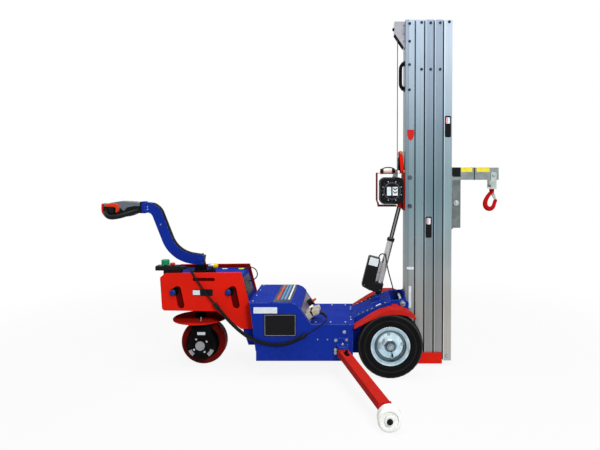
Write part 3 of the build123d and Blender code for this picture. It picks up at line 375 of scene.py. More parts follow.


# %% [markdown]
# ## Shared effects
# Folded and welded parts have rounded edges that catch the light, and paint rubs thin there first. The
# soft edge group compares the true normal with a rounded one, which gives both the highlight and a patchy
# mask of edges: most paints use it for wear, the blue paint for a painted highlight along its edges, and
# moulded plastic to be a little lighter there. Others give slow colour drift, fine texture for bump, the
# drawn lines of an extrusion, the crystals of zinc and the dust near the floor.

# %% Shared effect groups
WHITE = (1.0, 1.0, 1.0, 1.0)


def make_soft_edges():
    """Rounded normal, and a mask of edges: one minus the cosine between the rounded and the true normal."""
    tree, given = new_group("soft_edges", Radius=0.002, Patches=60.0)
    round_normal = add(tree, "Bevel", {"Radius": given["Radius"]}, samples=6).outputs["Normal"]
    cosine = vector_math(tree, "DOT_PRODUCT", round_normal, true_normal(tree))["Value"]
    edge = map_range(tree, math_node(tree, "SUBTRACT", 1.0, cosine), 0.04, 0.2)
    patches = map_range(tree, noise(tree, given["Patches"], 4.0, 0.6), 0.3, 0.55)
    return end_group(tree, Normal=round_normal, Wear=math_node(tree, "MULTIPLY", edge, patches))


def make_drift():
    """A colour that slowly gets lighter and darker over the surface."""
    tree, given = new_group("colour_drift", Colour=WHITE, Scale=5.0, Amount=0.08)
    wave = map_range(tree, noise(tree, given["Scale"], 5.0, 0.55), 0.3, 0.7, -1.0, 1.0)
    swing = math_node(tree, "MULTIPLY_ADD", wave, given["Amount"], 1.0)
    shaded = add(tree, "HueSaturation", {"Color": given["Colour"], "Value": swing})
    return end_group(tree, Colour=shaded.outputs["Color"])


def make_grain():
    """Fine noise for bump, and a roughness that wanders between two values."""
    tree, given = new_group("fine_grain", Scale=600.0, Smooth=0.3, Rough=0.45)
    fine = noise(tree, given["Scale"], 2.0)
    share = map_range(tree, noise(tree, 14.0, 4.0, 0.6), 0.3, 0.7)
    span = math_node(tree, "SUBTRACT", given["Rough"], given["Smooth"])
    rough = math_node(tree, "MULTIPLY_ADD", share, span, given["Smooth"])
    return end_group(tree, Height=fine, Roughness=rough)


def make_drawn_lines():
    """Lines along one direction: noise on coordinates that are squeezed along it."""
    tree, given = new_group("drawn_lines", Squeeze=(1.0, 1.0, 1.0))
    stretched = vector_math(tree, "MULTIPLY", object_place(tree), given["Squeeze"])["Vector"]
    lines = noise(tree, 1.0, 4.0, 0.65, stretched)
    return end_group(tree, Lines=map_range(tree, lines, 0.3, 0.7), Height=lines)


def make_zinc_crystals():
    """Cells of a slightly different grey, as on plated or galvanised steel."""
    tree, given = new_group("zinc_crystals", Scale=90.0)
    cells = add(tree, "TexVoronoi", {"Vector": object_place(tree), "Scale": given["Scale"]})
    grey = add(tree, "SeparateColor", {"Color": cells.outputs["Color"]}).outputs[0]
    return end_group(tree, Cells=grey, Cloud=map_range(tree, noise(tree, 18.0, 4.0), 0.3, 0.7))


def make_foot_dirt():
    """Dust and splashes: strong near the floor, gone at a height, and broken up by noise."""
    tree, given = new_group("foot_dirt", Height=0.35)
    share = math_node(tree, "DIVIDE", axes(tree)["Z"], given["Height"], clamp=True)
    low = math_node(tree, "SUBTRACT", 1.0, share)
    spots = map_range(tree, noise(tree, 35.0, 6.0, 0.65), 0.42, 0.72)
    return end_group(tree, Dirt=math_node(tree, "MULTIPLY", low, spots))


def make_height_split():
    """One colour below a height on the piece and another above it."""
    tree, given = new_group("height_split", Height=0.0, Low=WHITE, High=WHITE)
    above = math_node(tree, "GREATER_THAN", axes(tree)["Z"], given["Height"])
    return end_group(tree, Colour=mix_colour(tree, above, given["Low"], given["High"]))


def make_axle_distance():
    """Distance from an axle that runs across the machine through a centre."""
    tree, given = new_group("axle_distance", Centre=(0.0, 0.0, 0.0))
    from_centre = vector_math(tree, "SUBTRACT", object_place(tree), given["Centre"])["Vector"]
    flat = vector_math(tree, "MULTIPLY", from_centre, (1, 0, 1))["Vector"]
    return end_group(tree, Radius=vector_math(tree, "LENGTH", flat)["Value"])


# %% What the mast reflects
TONE_LOW, TONE_MIDDLE, TONE_TOP = (0.67, 0.65, 0.61, 1.0), (0.42, 0.59, 0.65, 1.0), (0.86, 1.02, 1.2, 1.0)
GAP_SHADE, FIRST_GAP_SHADE = (0.09, 0.1, 0.11, 1.0), (0.22, 0.25, 0.27, 1.0)
MAST_BACK, SECTION_PITCH, FIRST_GAP, SKIN = 0.112, 0.0605, 0.068, 0.0012
# Greys across the mast, measured from its back: a dark line, a darker strip and a second dark line.
MAST_STRIPES = [
    (0.0, 0.42), (0.0005, 0.42), (0.001, 0.78), (0.0185, 0.78), (0.0195, 0.56), (0.0215, 0.56), (0.0225, 1.0),
]
# Each later section's arris is a bright band: a painted highlight.
for section in (2, 3, 4):
    arris = 0.0055 + SECTION_PITCH * section
    MAST_STRIPES += [(arris - 0.001, 1.0), (arris, 1.45), (arris + 0.0055, 1.45), (arris + 0.007, 1.0)]
MAST_STRIPES.append((0.31, 1.0))


def make_mast_tones():
    """What a tall bright mast reflects, as a tint by height: pale sky above, dusk in the middle, floor below.

    Across the mast there is a darker strip between two dark lines along its back, and a painted highlight
    on the arris of each later section. Sideways faces that lie deeper than the outer skin, inside the gaps,
    are darker: painted shade."""
    tree, given = new_group("mast_tones", Top=2.2, Half=0.07)
    place = axes(tree)
    share = math_node(tree, "DIVIDE", place["Z"], given["Top"], clamp=True)
    low = mix_colour(tree, map_range(tree, share, 0.12, 0.5), TONE_LOW, TONE_MIDDLE)
    tint = mix_colour(tree, map_range(tree, share, 0.5, 0.95), low, TONE_TOP)
    across = math_node(tree, "SUBTRACT", place["X"], AXLE_X + MAST_BACK)
    tint = mix_colour(tree, 1.0, tint, grey_ramp(tree, across, MAST_STRIPES), "MULTIPLY")
    # Sideways faces inside the gaps take a dark colour: painted shade.
    in_first = math_node(tree, "LESS_THAN", across, FIRST_GAP)
    gap_shade = mix_colour(tree, in_first, GAP_SHADE, FIRST_GAP_SHADE)
    depth = math_node(tree, "SUBTRACT", given["Half"], math_node(tree, "ABSOLUTE", place["Y"]))
    turn = math_node(tree, "ABSOLUTE", axes(tree, true_normal(tree))["Y"])
    sideways = math_node(tree, "GREATER_THAN", turn, 0.5)
    in_gap_shade = math_node(tree, "MULTIPLY", math_node(tree, "GREATER_THAN", depth, SKIN), sideways)
    return end_group(tree, Tint=mix_colour(tree, in_gap_shade, tint, gap_shade))


SOFT_EDGES, DRIFT, GRAIN = make_soft_edges(), make_drift(), make_grain()
DRAWN_LINES, ZINC_CRYSTALS, FOOT_DIRT = make_drawn_lines(), make_zinc_crystals(), make_foot_dirt()
HEIGHT_SPLIT, AXLE_DISTANCE, MAST_TONES = make_height_split(), make_axle_distance(), make_mast_tones()
print("shared effects:", len(bpy.data.node_groups))

# %% [markdown]
# ## Finishes
# Each finish on the machine has its own maker: gloss paint over steel, drawn aluminium, plated steel,
# moulded plastic, rubber and film. Colours are written as they look in daylight and turned into the
# renderer's linear values.

# %% Finish helpers
PAINT_SPECULAR = 0.002
FLOOR_DUST, TYRE_DUST = (120, 108, 92), (86, 82, 76)
WHEEL_R = 0.200
WHEEL_CENTRE = (AXLE_X, 0.0, WHEEL_R)


def linear(red, green, blue):
    """A colour picked on screen, 0 to 255, as the linear values that shaders use."""
    share = np.array([red, green, blue]) / 255
    low, high = share / 12.92, ((share + 0.055) / 1.055) ** 2.4
    return (*np.where(share <= 0.04045, low, high).tolist(), 1.0)


def empty_tree(owner):
    """The node tree of a material or a world, with nothing in it."""
    owner.use_nodes = True
    owner.node_tree.nodes.clear()
    return owner.node_tree


def start_finish(name):
    """A new material and its empty tree."""
    material = bpy.data.materials.new(name)
    return material, empty_tree(material)


def end_finish(tree, colour, roughness, height, depth, normal=None, metallic=0.0, specular=0.5):
    """The Principled shader that ends a finish, with a bump of a depth in metres."""
    bump = add(tree, "Bump", {"Strength": 1.0, "Distance": depth, "Height": height})
    if normal is not None:
        fill(tree, bump, {"Normal": normal})
    shader = add(tree, "BsdfPrincipled", {
        "Base Color": colour, "Roughness": roughness, "Normal": bump.outputs["Normal"],
        "Metallic": metallic, "Specular IOR Level": specular,
    })
    add(tree, "OutputMaterial", {"Surface": shader.outputs["BSDF"]})


def by_height(tree, split, low, high):
    """One colour below a height on the piece and another above it, both as they look in daylight."""
    return use_group(tree, HEIGHT_SPLIT, Height=split, Low=linear(*low), High=linear(*high))["Colour"]


def inward_shade_mask(tree):
    """Mask for painted shade: one where a face looks at the machine's middle plane, as place and normal have
    opposite signs across.
    """
    outward = math_node(tree, "MULTIPLY", axes(tree)["Y"], axes(tree, true_normal(tree))["Y"])
    return math_node(tree, "LESS_THAN", outward, -0.05)


def ring_tint(tree, rings):
    """Greys by distance from the main wheels' axle, given as pairs of radius and grey: painted shade on the
    rims and painted highlights on the tyres.
    """
    return grey_ramp(tree, use_group(tree, AXLE_DISTANCE, Centre=WHEEL_CENTRE)["Radius"], rings)


# %% Finish makers
def gloss_paint(name, colour, edge_colour=(120, 118, 116), shine=0.26, upper=None, split=0.0, edge=0.1,
                specular=PAINT_SPECULAR, inner=None):
    """Sprayed gloss paint: slow drift, orange peel, an edge colour and dust near the floor.

    The edge colour is thin, worn paint on most paints, and a painted highlight on the blue. Above the height
    split it has the colour upper, and on faces that look inwards the colour inner, a painted shade, where
    these are given."""
    material, tree = start_finish(name)
    coat = by_height(tree, split, colour, upper) if upper else linear(*colour)
    # Faces that look inwards take the inner colour, where it is given: painted shade.
    if inner:
        coat = mix_colour(tree, inward_shade_mask(tree), coat, linear(*inner))
    drift = use_group(tree, DRIFT, Colour=coat, Scale=4.0, Amount=0.07)
    edges = use_group(tree, SOFT_EDGES, Radius=0.003, Patches=45.0)
    grain = use_group(tree, GRAIN, Scale=700.0, Smooth=shine, Rough=shine + 0.14)
    foot = use_group(tree, FOOT_DIRT, Height=0.3)
    # On the blue paint the edge colour is a painted highlight; on the others it is worn paint.
    edge_toned = fade(tree, edges["Wear"], edge, drift["Colour"], linear(*edge_colour))
    dusty = fade(tree, foot["Dirt"], 0.06, edge_toned, linear(*FLOOR_DUST))
    end_finish(tree, dusty, grain["Roughness"], grain["Height"], 0.00004, edges["Normal"], specular=specular)
    return material


def drawn_metal(name, colour, squeeze, smooth, rough, contrast=0.1, tall=False, rim=None):
    """Extruded, rolled or brushed metal: fine lines along its length in both colour and gloss.

    A tall one has the mast's tones: a painted reflection by height, painted highlights and painted shade in
    its gaps. A rim colour is a painted reflection: the dark that a round bar shows where its surface turns
    away."""
    material, tree = start_finish(name)
    drift = use_group(tree, DRIFT, Colour=linear(*colour), Scale=3.0, Amount=0.06)
    lines = use_group(tree, DRAWN_LINES, Squeeze=squeeze)
    edges = use_group(tree, SOFT_EDGES, Radius=0.0016, Patches=30.0)
    dark = linear(*(0.8 * np.array(colour)))
    skin = fade(tree, lines["Lines"], contrast * 4, drift["Colour"], dark)
    if tall:
        tones = use_group(tree, MAST_TONES, Top=2.23, Half=0.070)
        skin = mix_colour(tree, 1.0, skin, tones["Tint"], "MULTIPLY")
    # The rim colour is a painted reflection along a round bar's edges.
    if rim:
        facing = add(tree, "LayerWeight", {"Blend": 0.5}).outputs["Facing"]
        skin = mix_colour(tree, map_range(tree, facing, 0.02, 0.12), skin, linear(*rim))
    gloss = map_range(tree, lines["Lines"], 0.0, 1.0, smooth, rough)
    end_finish(tree, skin, gloss, lines["Height"], 0.00006, edges["Normal"], metallic=1.0)
    return material


def plated_steel(name, colour, scale=90.0, smooth=0.22, rough=0.42, tint=(150, 165, 178), shade=None):
    """Zinc plate: faint crystals, cloudy roughness and a bluish bloom.

    shade is a function of the tree that gives a colour to darken it with, where one is wanted: painted shade
    on the boom's post and in the rims' recesses."""
    material, tree = start_finish(name)
    zinc = use_group(tree, ZINC_CRYSTALS, Scale=scale)
    edges = use_group(tree, SOFT_EDGES, Radius=0.0012, Patches=40.0)
    bloom = mix_colour(tree, zinc["Cloud"], linear(*colour), linear(*tint))
    cells = fade(tree, zinc["Cells"], 0.35, bloom, linear(*(0.82 * np.array(colour))))
    if shade:
        cells = mix_colour(tree, 1.0, cells, shade(tree), "MULTIPLY")
    gloss = map_range(tree, zinc["Cloud"], 0.0, 1.0, smooth, rough)
    end_finish(tree, cells, gloss, zinc["Cells"], 0.00002, edges["Normal"], metallic=1.0)
    return material


def moulded_plastic(name, colour, smooth=0.35, rough=0.5, texture=0.00005, scale=900.0, specular=0.1):
    """Moulded plastic: a fine leathery skin, a little lighter along its edges."""
    material, tree = start_finish(name)
    drift = use_group(tree, DRIFT, Colour=linear(*colour), Scale=12.0, Amount=0.08)
    grain = use_group(tree, GRAIN, Scale=scale, Smooth=smooth, Rough=rough)
    edges = use_group(tree, SOFT_EDGES, Radius=0.0018, Patches=60.0)
    pale = linear(*np.minimum(255, np.array(colour) * 1.3 + 14))
    edge_toned = fade(tree, edges["Wear"], 0.5, drift["Colour"], pale)
    end_finish(tree, edge_toned, grain["Roughness"], grain["Height"], texture, edges["Normal"], specular=specular)
    return material


def rolled_rubber(name, colour, shade=None):
    """Rubber or polyurethane: matt, faintly mottled, with dust where it meets the floor.

    shade is a function of the tree that gives a colour to darken it with, where one is wanted; on the tyre it
    leaves two painted highlight rings."""
    material, tree = start_finish(name)
    drift = use_group(tree, DRIFT, Colour=linear(*colour), Scale=22.0, Amount=0.14)
    grain = use_group(tree, GRAIN, Scale=450.0, Smooth=0.5, Rough=0.68)
    foot = use_group(tree, FOOT_DIRT, Height=0.12)
    dusty = fade(tree, foot["Dirt"], 0.08, drift["Colour"], linear(*TYRE_DUST))
    if shade:
        dusty = mix_colour(tree, 1.0, dusty, shade(tree), "MULTIPLY")
    end_finish(tree, dusty, grain["Roughness"], grain["Height"], 0.00012, specular=0.05)
    return material


def printed_film(name, colour):
    """Blank adhesive film: an even colour with a faint cloud and a smooth skin."""
    material, tree = start_finish(name)
    drift = use_group(tree, DRIFT, Colour=linear(*colour), Scale=30.0, Amount=0.05)
    grain = use_group(tree, GRAIN, Scale=500.0, Smooth=0.3, Rough=0.45)
    end_finish(tree, drift["Colour"], grain["Roughness"], grain["Height"], 0.00003, specular=0.1)
    return material


# %% Paints
BLUE_COAT, RED_COAT, BLACK_COAT = (22, 46, 146), (212, 32, 20), (16, 16, 17)
RED_WORN, DULL_WORN = (150, 60, 46), (120, 60, 50)
# The blue's light edge colour, given a large share, is a painted highlight along its folded edges.
BLUE = gloss_paint("blue_gloss", BLUE_COAT, (150, 178, 236), edge=0.6)
RED = gloss_paint("red_gloss", RED_COAT, RED_WORN)
HOOK_RED = gloss_paint("hook_red", (176, 20, 22), RED_WORN)
DISC_RED = gloss_paint("disc_red", (206, 34, 22), RED_WORN, 0.5, specular=0.0)
# A darker copy of the red paint for the legs and fenders, whose upper faces take more light: painted shade.
DARKENED_RED = gloss_paint("red_gloss_darkened", (178, 34, 28), RED_WORN)
FRAME_RED = gloss_paint("winch_frame_red", (146, 26, 22), DULL_WORN)
# The plates' inward faces are a darker red: painted shade.
PLATE_RED = gloss_paint("plate_red", RED_COAT, RED_WORN, inner=(104, 14, 12))
# A dark red for the winch frame's sides: painted shade.
FRAME_SHADE_RED = gloss_paint("winch_frame_shade_red", (84, 16, 15), DULL_WORN)
# A dark red for what is seen through the counterweights' slots: painted shade.
SHADE_RED = gloss_paint("shaded_red", (92, 10, 8), (110, 40, 34))
MAST_FOOT = gloss_paint("mast_foot_paint", RED_COAT, upper=BLUE_COAT, split=0.33)
YOKE = gloss_paint("yoke_paint", BLACK_COAT, upper=BLUE_COAT, split=0.652)
BLACK_STEEL = gloss_paint("black_steel", BLACK_COAT, (90, 90, 92), 0.36)
print("paints made:", len(bpy.data.materials))

# %% Metals
MAST_LINES, ROD_LINES, NO_LINES = (420.0, 420.0, 1.2), (300.0, 300.0, 4.0), (300.0, 300.0, 300.0)
# Greys by distance from the wheel's axle: painted shade round the hub and in the rim's recessed rings.
RIM_SHADE_RINGS = [
    (0.0, 0.16), (0.029, 0.16), (0.034, 0.62), (0.040, 1.0), (0.074, 1.0), (0.082, 0.7), (0.086, 0.24),
    (0.095, 0.3), (0.098, 0.66), (0.111, 0.78), (0.115, 1.0), (0.121, 1.0),
]
ALUMINIUM = drawn_metal("mast_aluminium", (204, 207, 210), MAST_LINES, 0.34, 0.5, tall=True)
DULL_ALUMINIUM = drawn_metal("dull_aluminium", (182, 185, 190), MAST_LINES, 0.36, 0.52, tall=True)
PALE_ALUMINIUM = drawn_metal("pale_aluminium", (222, 222, 222), MAST_LINES, 0.32, 0.48, tall=True)
TUBE_ALUMINIUM = drawn_metal("tube_aluminium", (196, 198, 196), ROD_LINES, 0.3, 0.45)
BRIGHT = drawn_metal("bright_rod", (196, 198, 202), ROD_LINES, 0.12, 0.25, 0.04)
DARK_ROD = drawn_metal("dark_chrome", (134, 136, 138), ROD_LINES, 0.14, 0.26, 0.04, rim=(30, 31, 32))
ROPE_STEEL = drawn_metal("rope_steel", (122, 124, 126), NO_LINES, 0.4, 0.55)
# The boom's post, below 1.204 m, is darker than the boom above: painted shade.
BOOM_STEEL = plated_steel("boom_galvanised", (160, 169, 170), 60.0, 0.3, 0.5, (140, 153, 154),
                          lambda tree: by_height(tree, 1.204, (212, 212, 211), (255, 255, 255)))
LINK_STEEL = plated_steel("link_galvanised", (208, 218, 212), 70.0, 0.25, 0.45, (184, 200, 194))
# The rims take the ring greys above: painted shade.
RIM_STEEL = plated_steel("rim_zinc", (216, 238, 248), 70.0, 0.16, 0.3, (172, 208, 226),
                         lambda tree: ring_tint(tree, RIM_SHADE_RINGS))
HEAD_STEEL = plated_steel("head_galvanised", (188, 190, 196), 60.0, 0.3, 0.5, (170, 174, 182))
ZINC = plated_steel("zinc_plate", (176, 188, 196))
MID_ZINC = plated_steel("mid_zinc", (108, 116, 128), 90.0, 0.2, 0.36, (70, 78, 90))
DARK_ZINC = plated_steel("dark_zinc", (70, 78, 90), 90.0, 0.2, 0.36, (46, 54, 64))
BRASS = plated_steel("yellow_passivate", (196, 172, 104), 80.0, 0.25, 0.45, (178, 160, 110))
print("paints and metals made:", len(bpy.data.materials))

# %% Plastics, rubber and films
# Greys by distance from the wheel's axle: a near-black tyre with two lighter rings, painted highlights on a
# sidewall rib and on the shoulder.
TYRE_HIGHLIGHT_RINGS = [
    (0.0, 0.09), (0.152, 0.09), (0.156, 0.42), (0.159, 0.09), (0.183, 0.09), (0.189, 0.5), (0.193, 0.5),
    (0.197, 0.16), (0.203, 0.12),
]
BLACK_PLASTIC = moulded_plastic("black_plastic", (20, 21, 22))
GREY_PLASTIC = moulded_plastic("grey_plastic", (128, 122, 112))
CONNECTOR_GREY = moulded_plastic("connector_grey", (172, 166, 152))
GRILLE_GREY = moulded_plastic("louvre_grey", (44, 46, 52))
HEAD_GREY = moulded_plastic("head_grey", (104, 112, 122), 0.32, 0.45)
CAST_BLACK = moulded_plastic("cast_black", (13, 13, 14), 0.16, 0.3, 0.0001, 260.0)
# A lighter grey for the winch casting's lip and bead: painted highlight.
CAST_HIGHLIGHT = moulded_plastic("cast_highlight_grey", (72, 76, 84), 0.2, 0.35)
GRIP_CREAM = moulded_plastic("grip_cream", (216, 208, 198))
NYLON = moulded_plastic("white_nylon", (240, 243, 238), 0.32, 0.45, 0.00003, 700.0, 0.2)
RED_PLASTIC = moulded_plastic("red_plastic", (206, 38, 24), 0.3, 0.42)
ORANGE_RED = moulded_plastic("butterfly_red", (208, 60, 28), 0.3, 0.42)
GREEN_PLASTIC = moulded_plastic("green_plastic", (14, 128, 84), 0.28, 0.4)
YELLOW_PLASTIC = moulded_plastic("yellow_plastic", (226, 190, 30), 0.3, 0.45)
JACKET = moulded_plastic("cable_jacket", (16, 16, 16), 0.4, 0.55, 0.00002, 1200.0, 0.15)
BATTERY = moulded_plastic("battery_case", (34, 35, 38))
RUBBER = rolled_rubber("tyre_rubber", (14, 15, 16))
# The tyre's lighter rings are painted highlights.
TYRE = rolled_rubber("tyre_painted_highlights", (66, 67, 70), lambda tree: ring_tint(tree, TYRE_HIGHLIGHT_RINGS))
DRIVE_TYRE = rolled_rubber("drive_polyurethane", (104, 14, 8))
PAPER_WHITE = printed_film("blank_white_film", (214, 222, 228))
PANEL_BLACK = printed_film("blank_black_film", (18, 18, 20))
TAPE_YELLOW = printed_film("plain_yellow_tape", (228, 210, 56))
PALE_GREY = printed_film("blank_grey_film", (150, 154, 156))
# A grey-mauve film for the sloping face: painted reflection and shade.
SLOPE_SHADE_FILM = printed_film("slope_painted_shade", (88, 80, 98))
LABEL_GREY = printed_film("blank_silver_film", (166, 167, 170))
STRIPE_BLUE = printed_film("plain_blue_tape", (70, 132, 190))
STRIPE_RED = printed_film("plain_red_tape", (186, 40, 36))
FILM_PINK = printed_film("blank_pink_film", (226, 134, 150))
DOT_GREEN = printed_film("plain_lime_film", (196, 224, 60))
print("all finishes made:", len(bpy.data.materials))

# %% [markdown]
# The table lists finishes under the record's material slots, the bright finish under plated steel too.
# The first finish of a slot is the one that solids of the slot take, unless they have one of their own.

# %% Slots, and the finishes of the solids
SLOTS = {
    "blue_paint": [BLUE], "red_paint": [RED, HOOK_RED, SHADE_RED, FRAME_SHADE_RED], "black_steel": [BLACK_STEEL],
    "bare_aluminium": [ALUMINIUM], "bright_steel": [BRIGHT, ROPE_STEEL],
    "zinc_steel": [ZINC, MID_ZINC, DARK_ZINC, BRIGHT, BRASS, LINK_STEEL],
    "black_plastic": [BLACK_PLASTIC, GRILLE_GREY, CAST_HIGHLIGHT, PANEL_BLACK],
    "grey_plastic": [
        GREY_PLASTIC, CONNECTOR_GREY, HEAD_GREY, GRIP_CREAM, YELLOW_PLASTIC, PAPER_WHITE, TAPE_YELLOW,
        PALE_GREY, SLOPE_SHADE_FILM, LABEL_GREY, STRIPE_BLUE, STRIPE_RED, DOT_GREEN,
    ],
    "white_nylon": [NYLON], "red_plastic": [RED_PLASTIC, ORANGE_RED, FILM_PINK],
    "green_plastic": [GREEN_PLASTIC], "tyre_rubber": [RUBBER, TYRE], "red_polyurethane": [DRIVE_TYRE],
    "cable_jacket": [JACKET], "battery_case": [BATTERY],
}
OWN_FINISH = {
    "head_cover": HEAD_GREY, "throttle": ORANGE_RED, "boom": BOOM_STEEL, "actuator_rod": DARK_ROD,
    "mast_section_3": DULL_ALUMINIUM, "mast_section_4": DULL_ALUMINIUM, "carriage": PALE_ALUMINIUM,
    "counterweight_studs": BLACK_STEEL, "actuator_tube": TUBE_ALUMINIUM, "rope_head": HEAD_STEEL,
    "steering_column": YOKE, "mast_base": MAST_FOOT, "hook": HOOK_RED, "hook_link": LINK_STEEL,
    "guard_disc": DISC_RED, "fenders": DARKENED_RED, "right_outrigger": DARKENED_RED, "left_outrigger": DARKENED_RED,
    "hook_latch": LINK_STEEL, "winch_frame": FRAME_RED, "right_rim": RIM_STEEL, "left_rim": RIM_STEEL,
    "power_connectors": CONNECTOR_GREY, "winch_housing": CAST_BLACK, "counterweight_plates": PLATE_RED,
}
for row in frame["record"]["subparts"]:
    solid = frame["nodes"][row["node"]]
    finish = OWN_FINISH.get(row["node"]) or SLOTS[row["material_slot"]][0]
    for material_slot in solid.material_slots:
        material_slot.material = finish
    if not solid.material_slots:
        solid.data.materials.append(finish)

# %% [markdown]
# ## Floor and light
# A white studio: the floor is mostly its own white to the camera, so that it joins the white background,
# and the rest of it is lit, so that it still takes the machine's shadow. A lamp high to the right of the
# camera does the modelling, one overhead softens it, and the world fills in. The first is left out of
# reflections, so that metal shows the white room and no hot spot.

# %% Floor, world and lamps
FLOOR_HALF = 14.0
FLOOR_GREY = (0.6, 0.6, 0.6, 1)
FLOOR_GLOW, FLOOR_NEAR, FLOOR_FAR = 0.9, 1.4, 3.6
WORLD_FILL = 0.17


def seen_directly(tree):
    """One for camera, glossy and transmission rays, and zero for the light that falls on things."""
    path = add(tree, "LightPath").outputs
    seen = math_node(tree, "MAXIMUM", path["Is Camera Ray"], path["Is Glossy Ray"])
    return math_node(tree, "MAXIMUM", seen, path["Is Transmission Ray"])


def floor_finish():
    """White paper: a share of plain white for the eye, and a share that is lit and shadowed."""
    material, tree = start_finish("studio_paper")
    lit = add(tree, "BsdfDiffuse", {"Color": FLOOR_GREY})
    white = add(tree, "Emission", {"Color": WHITE, "Strength": 1.0})
    away = vector_math(tree, "LENGTH", object_place(tree))["Value"]
    glow = map_range(tree, away, FLOOR_NEAR, FLOOR_FAR, FLOOR_GLOW, 1.0)
    share = math_node(tree, "MULTIPLY", seen_directly(tree), glow)
    both = add(tree, "MixShader", {0: share, 1: lit.outputs[0], 2: white.outputs[0]})
    add(tree, "OutputMaterial", {"Surface": both.outputs[0]})
    return material


def make_floor():
    """A square grid on the floor plane, wide enough that its edge is out of sight."""
    corner = np.linspace(-FLOOR_HALF, FLOOR_HALF, 3)
    x, y = np.meshgrid(corner, corner, indexing="ij")
    points = np.stack([x, y, np.zeros_like(x)], axis=-1).reshape(-1, 3)
    mesh = bpy.data.meshes.new("studio_floor")
    mesh.from_pydata(points.tolist(), [], grid_faces(3, 3).tolist())
    mesh.materials.append(floor_finish())
    floor = bpy.data.objects.new("studio_floor", mesh)
    bpy.context.collection.objects.link(floor)


def light_world():
    """A world that is white to the eye and in reflections, and gives a weaker even fill."""
    world = bpy.data.worlds.new("studio_world")
    bpy.context.scene.world = world
    tree = empty_tree(world)
    white = add(tree, "Background", {"Color": WHITE, "Strength": 1.0})
    soft = add(tree, "Background", {"Color": WHITE, "Strength": WORLD_FILL})
    both = add(tree, "MixShader", {0: seen_directly(tree), 1: soft.outputs[0], 2: white.outputs[0]})
    add(tree, "OutputWorld", {"Surface": both.outputs[0]})


def soft_box(name, place, aim, width, height, power):
    """A rectangular lamp at a place, turned to face another."""
    lamp = bpy.data.lights.new(name, "AREA")
    lamp.shape = "RECTANGLE"
    lamp.size, lamp.size_y, lamp.energy = width, height, power
    made = bpy.data.objects.new(name, lamp)
    made.location = from_axle(place)
    made.rotation_mode = "QUATERNION"
    made.rotation_quaternion = Vector(np.subtract(aim, place)).to_track_quat("-Z", "Y")
    bpy.context.collection.objects.link(made)
    return made


make_floor()
light_world()
soft_box("overhead", (-0.5, -0.6, 4.6), (-0.5, 0.0, 0.5), 4.5, 3.5, 195.0)
key = soft_box("key", (1.6, -5.2, 3.6), (-0.4, 0.0, 0.6), 1.3, 1.1, 240.0)
key.visible_glossy = False
bpy.context.scene.view_settings.view_transform = "Standard"
print("floor, world and lamps ready")

# %% [markdown]
# ## Cables
# A cable is a fixed length of something bendy, so its line is one smooth spline through the space that
# its solid takes. The leads are curves with a round bevel. The conduit is a ribbed hose, so its skin is
# swept along points read from the same kind of spline, with a radius that swells at every rib.


# %% Cable helpers
def route_spline(name, points):
    """A curve object with one NURBS spline whose control points are the route."""
    curve = bpy.data.curves.new(name, "CURVE")
    curve.dimensions = "3D"
    curve.resolution_u = 12
    spline = curve.splines.new("NURBS")
    spline.points.add(len(points) - 1)
    spline.points.foreach_set("co", np.c_[points, np.ones(len(points))].ravel())
    spline.order_u = 3
    spline.use_endpoint_u = True
    made = bpy.data.objects.new(name, curve)
    bpy.context.collection.objects.link(made)
    return made


def line_of(name, points, resolution):
    """The points of a route's spline, read from a curve with no bevel, which is then removed."""
    route = route_spline(name, points)
    route.data.resolution_u = resolution
    graph = bpy.context.evaluated_depsgraph_get()
    mesh = bpy.data.meshes.new_from_object(route.evaluated_get(graph))
    line = np.zeros(len(mesh.vertices) * 3)
    mesh.vertices.foreach_get("co", line)
    bpy.data.objects.remove(route)
    bpy.data.meshes.remove(mesh)
    return line.reshape(-1, 3)


def run_along(line):
    """How far each point of a line is from its start, measured along it."""
    return np.r_[0.0, np.cumsum(np.linalg.norm(np.diff(line, axis=0), axis=1))]


def lead(name, points, radius, node):
    """A plain round lead: a curve with a bevel, whose length along its spline is measured and printed."""
    points = from_axle(points)
    length = float(run_along(line_of(name + "_line", points, 24))[-1])
    made = route_spline(name, points)
    made.data.bevel_depth = radius
    made.data.bevel_resolution = 4
    made.data.use_fill_caps = True
    made.data.materials.append(JACKET)
    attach(made, BODY_OF[node])
    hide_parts(node)
    print(name, "length", round(length, 3), "m")


def hose(name, line, rings, finish, node, sharp=38.0):
    """A skin of rings swept along a spline's line, standing for a CAD node."""
    made = piece(name, swept(line, rings), finish, BODY_OF[node], sharp=sharp, stands_for=node)


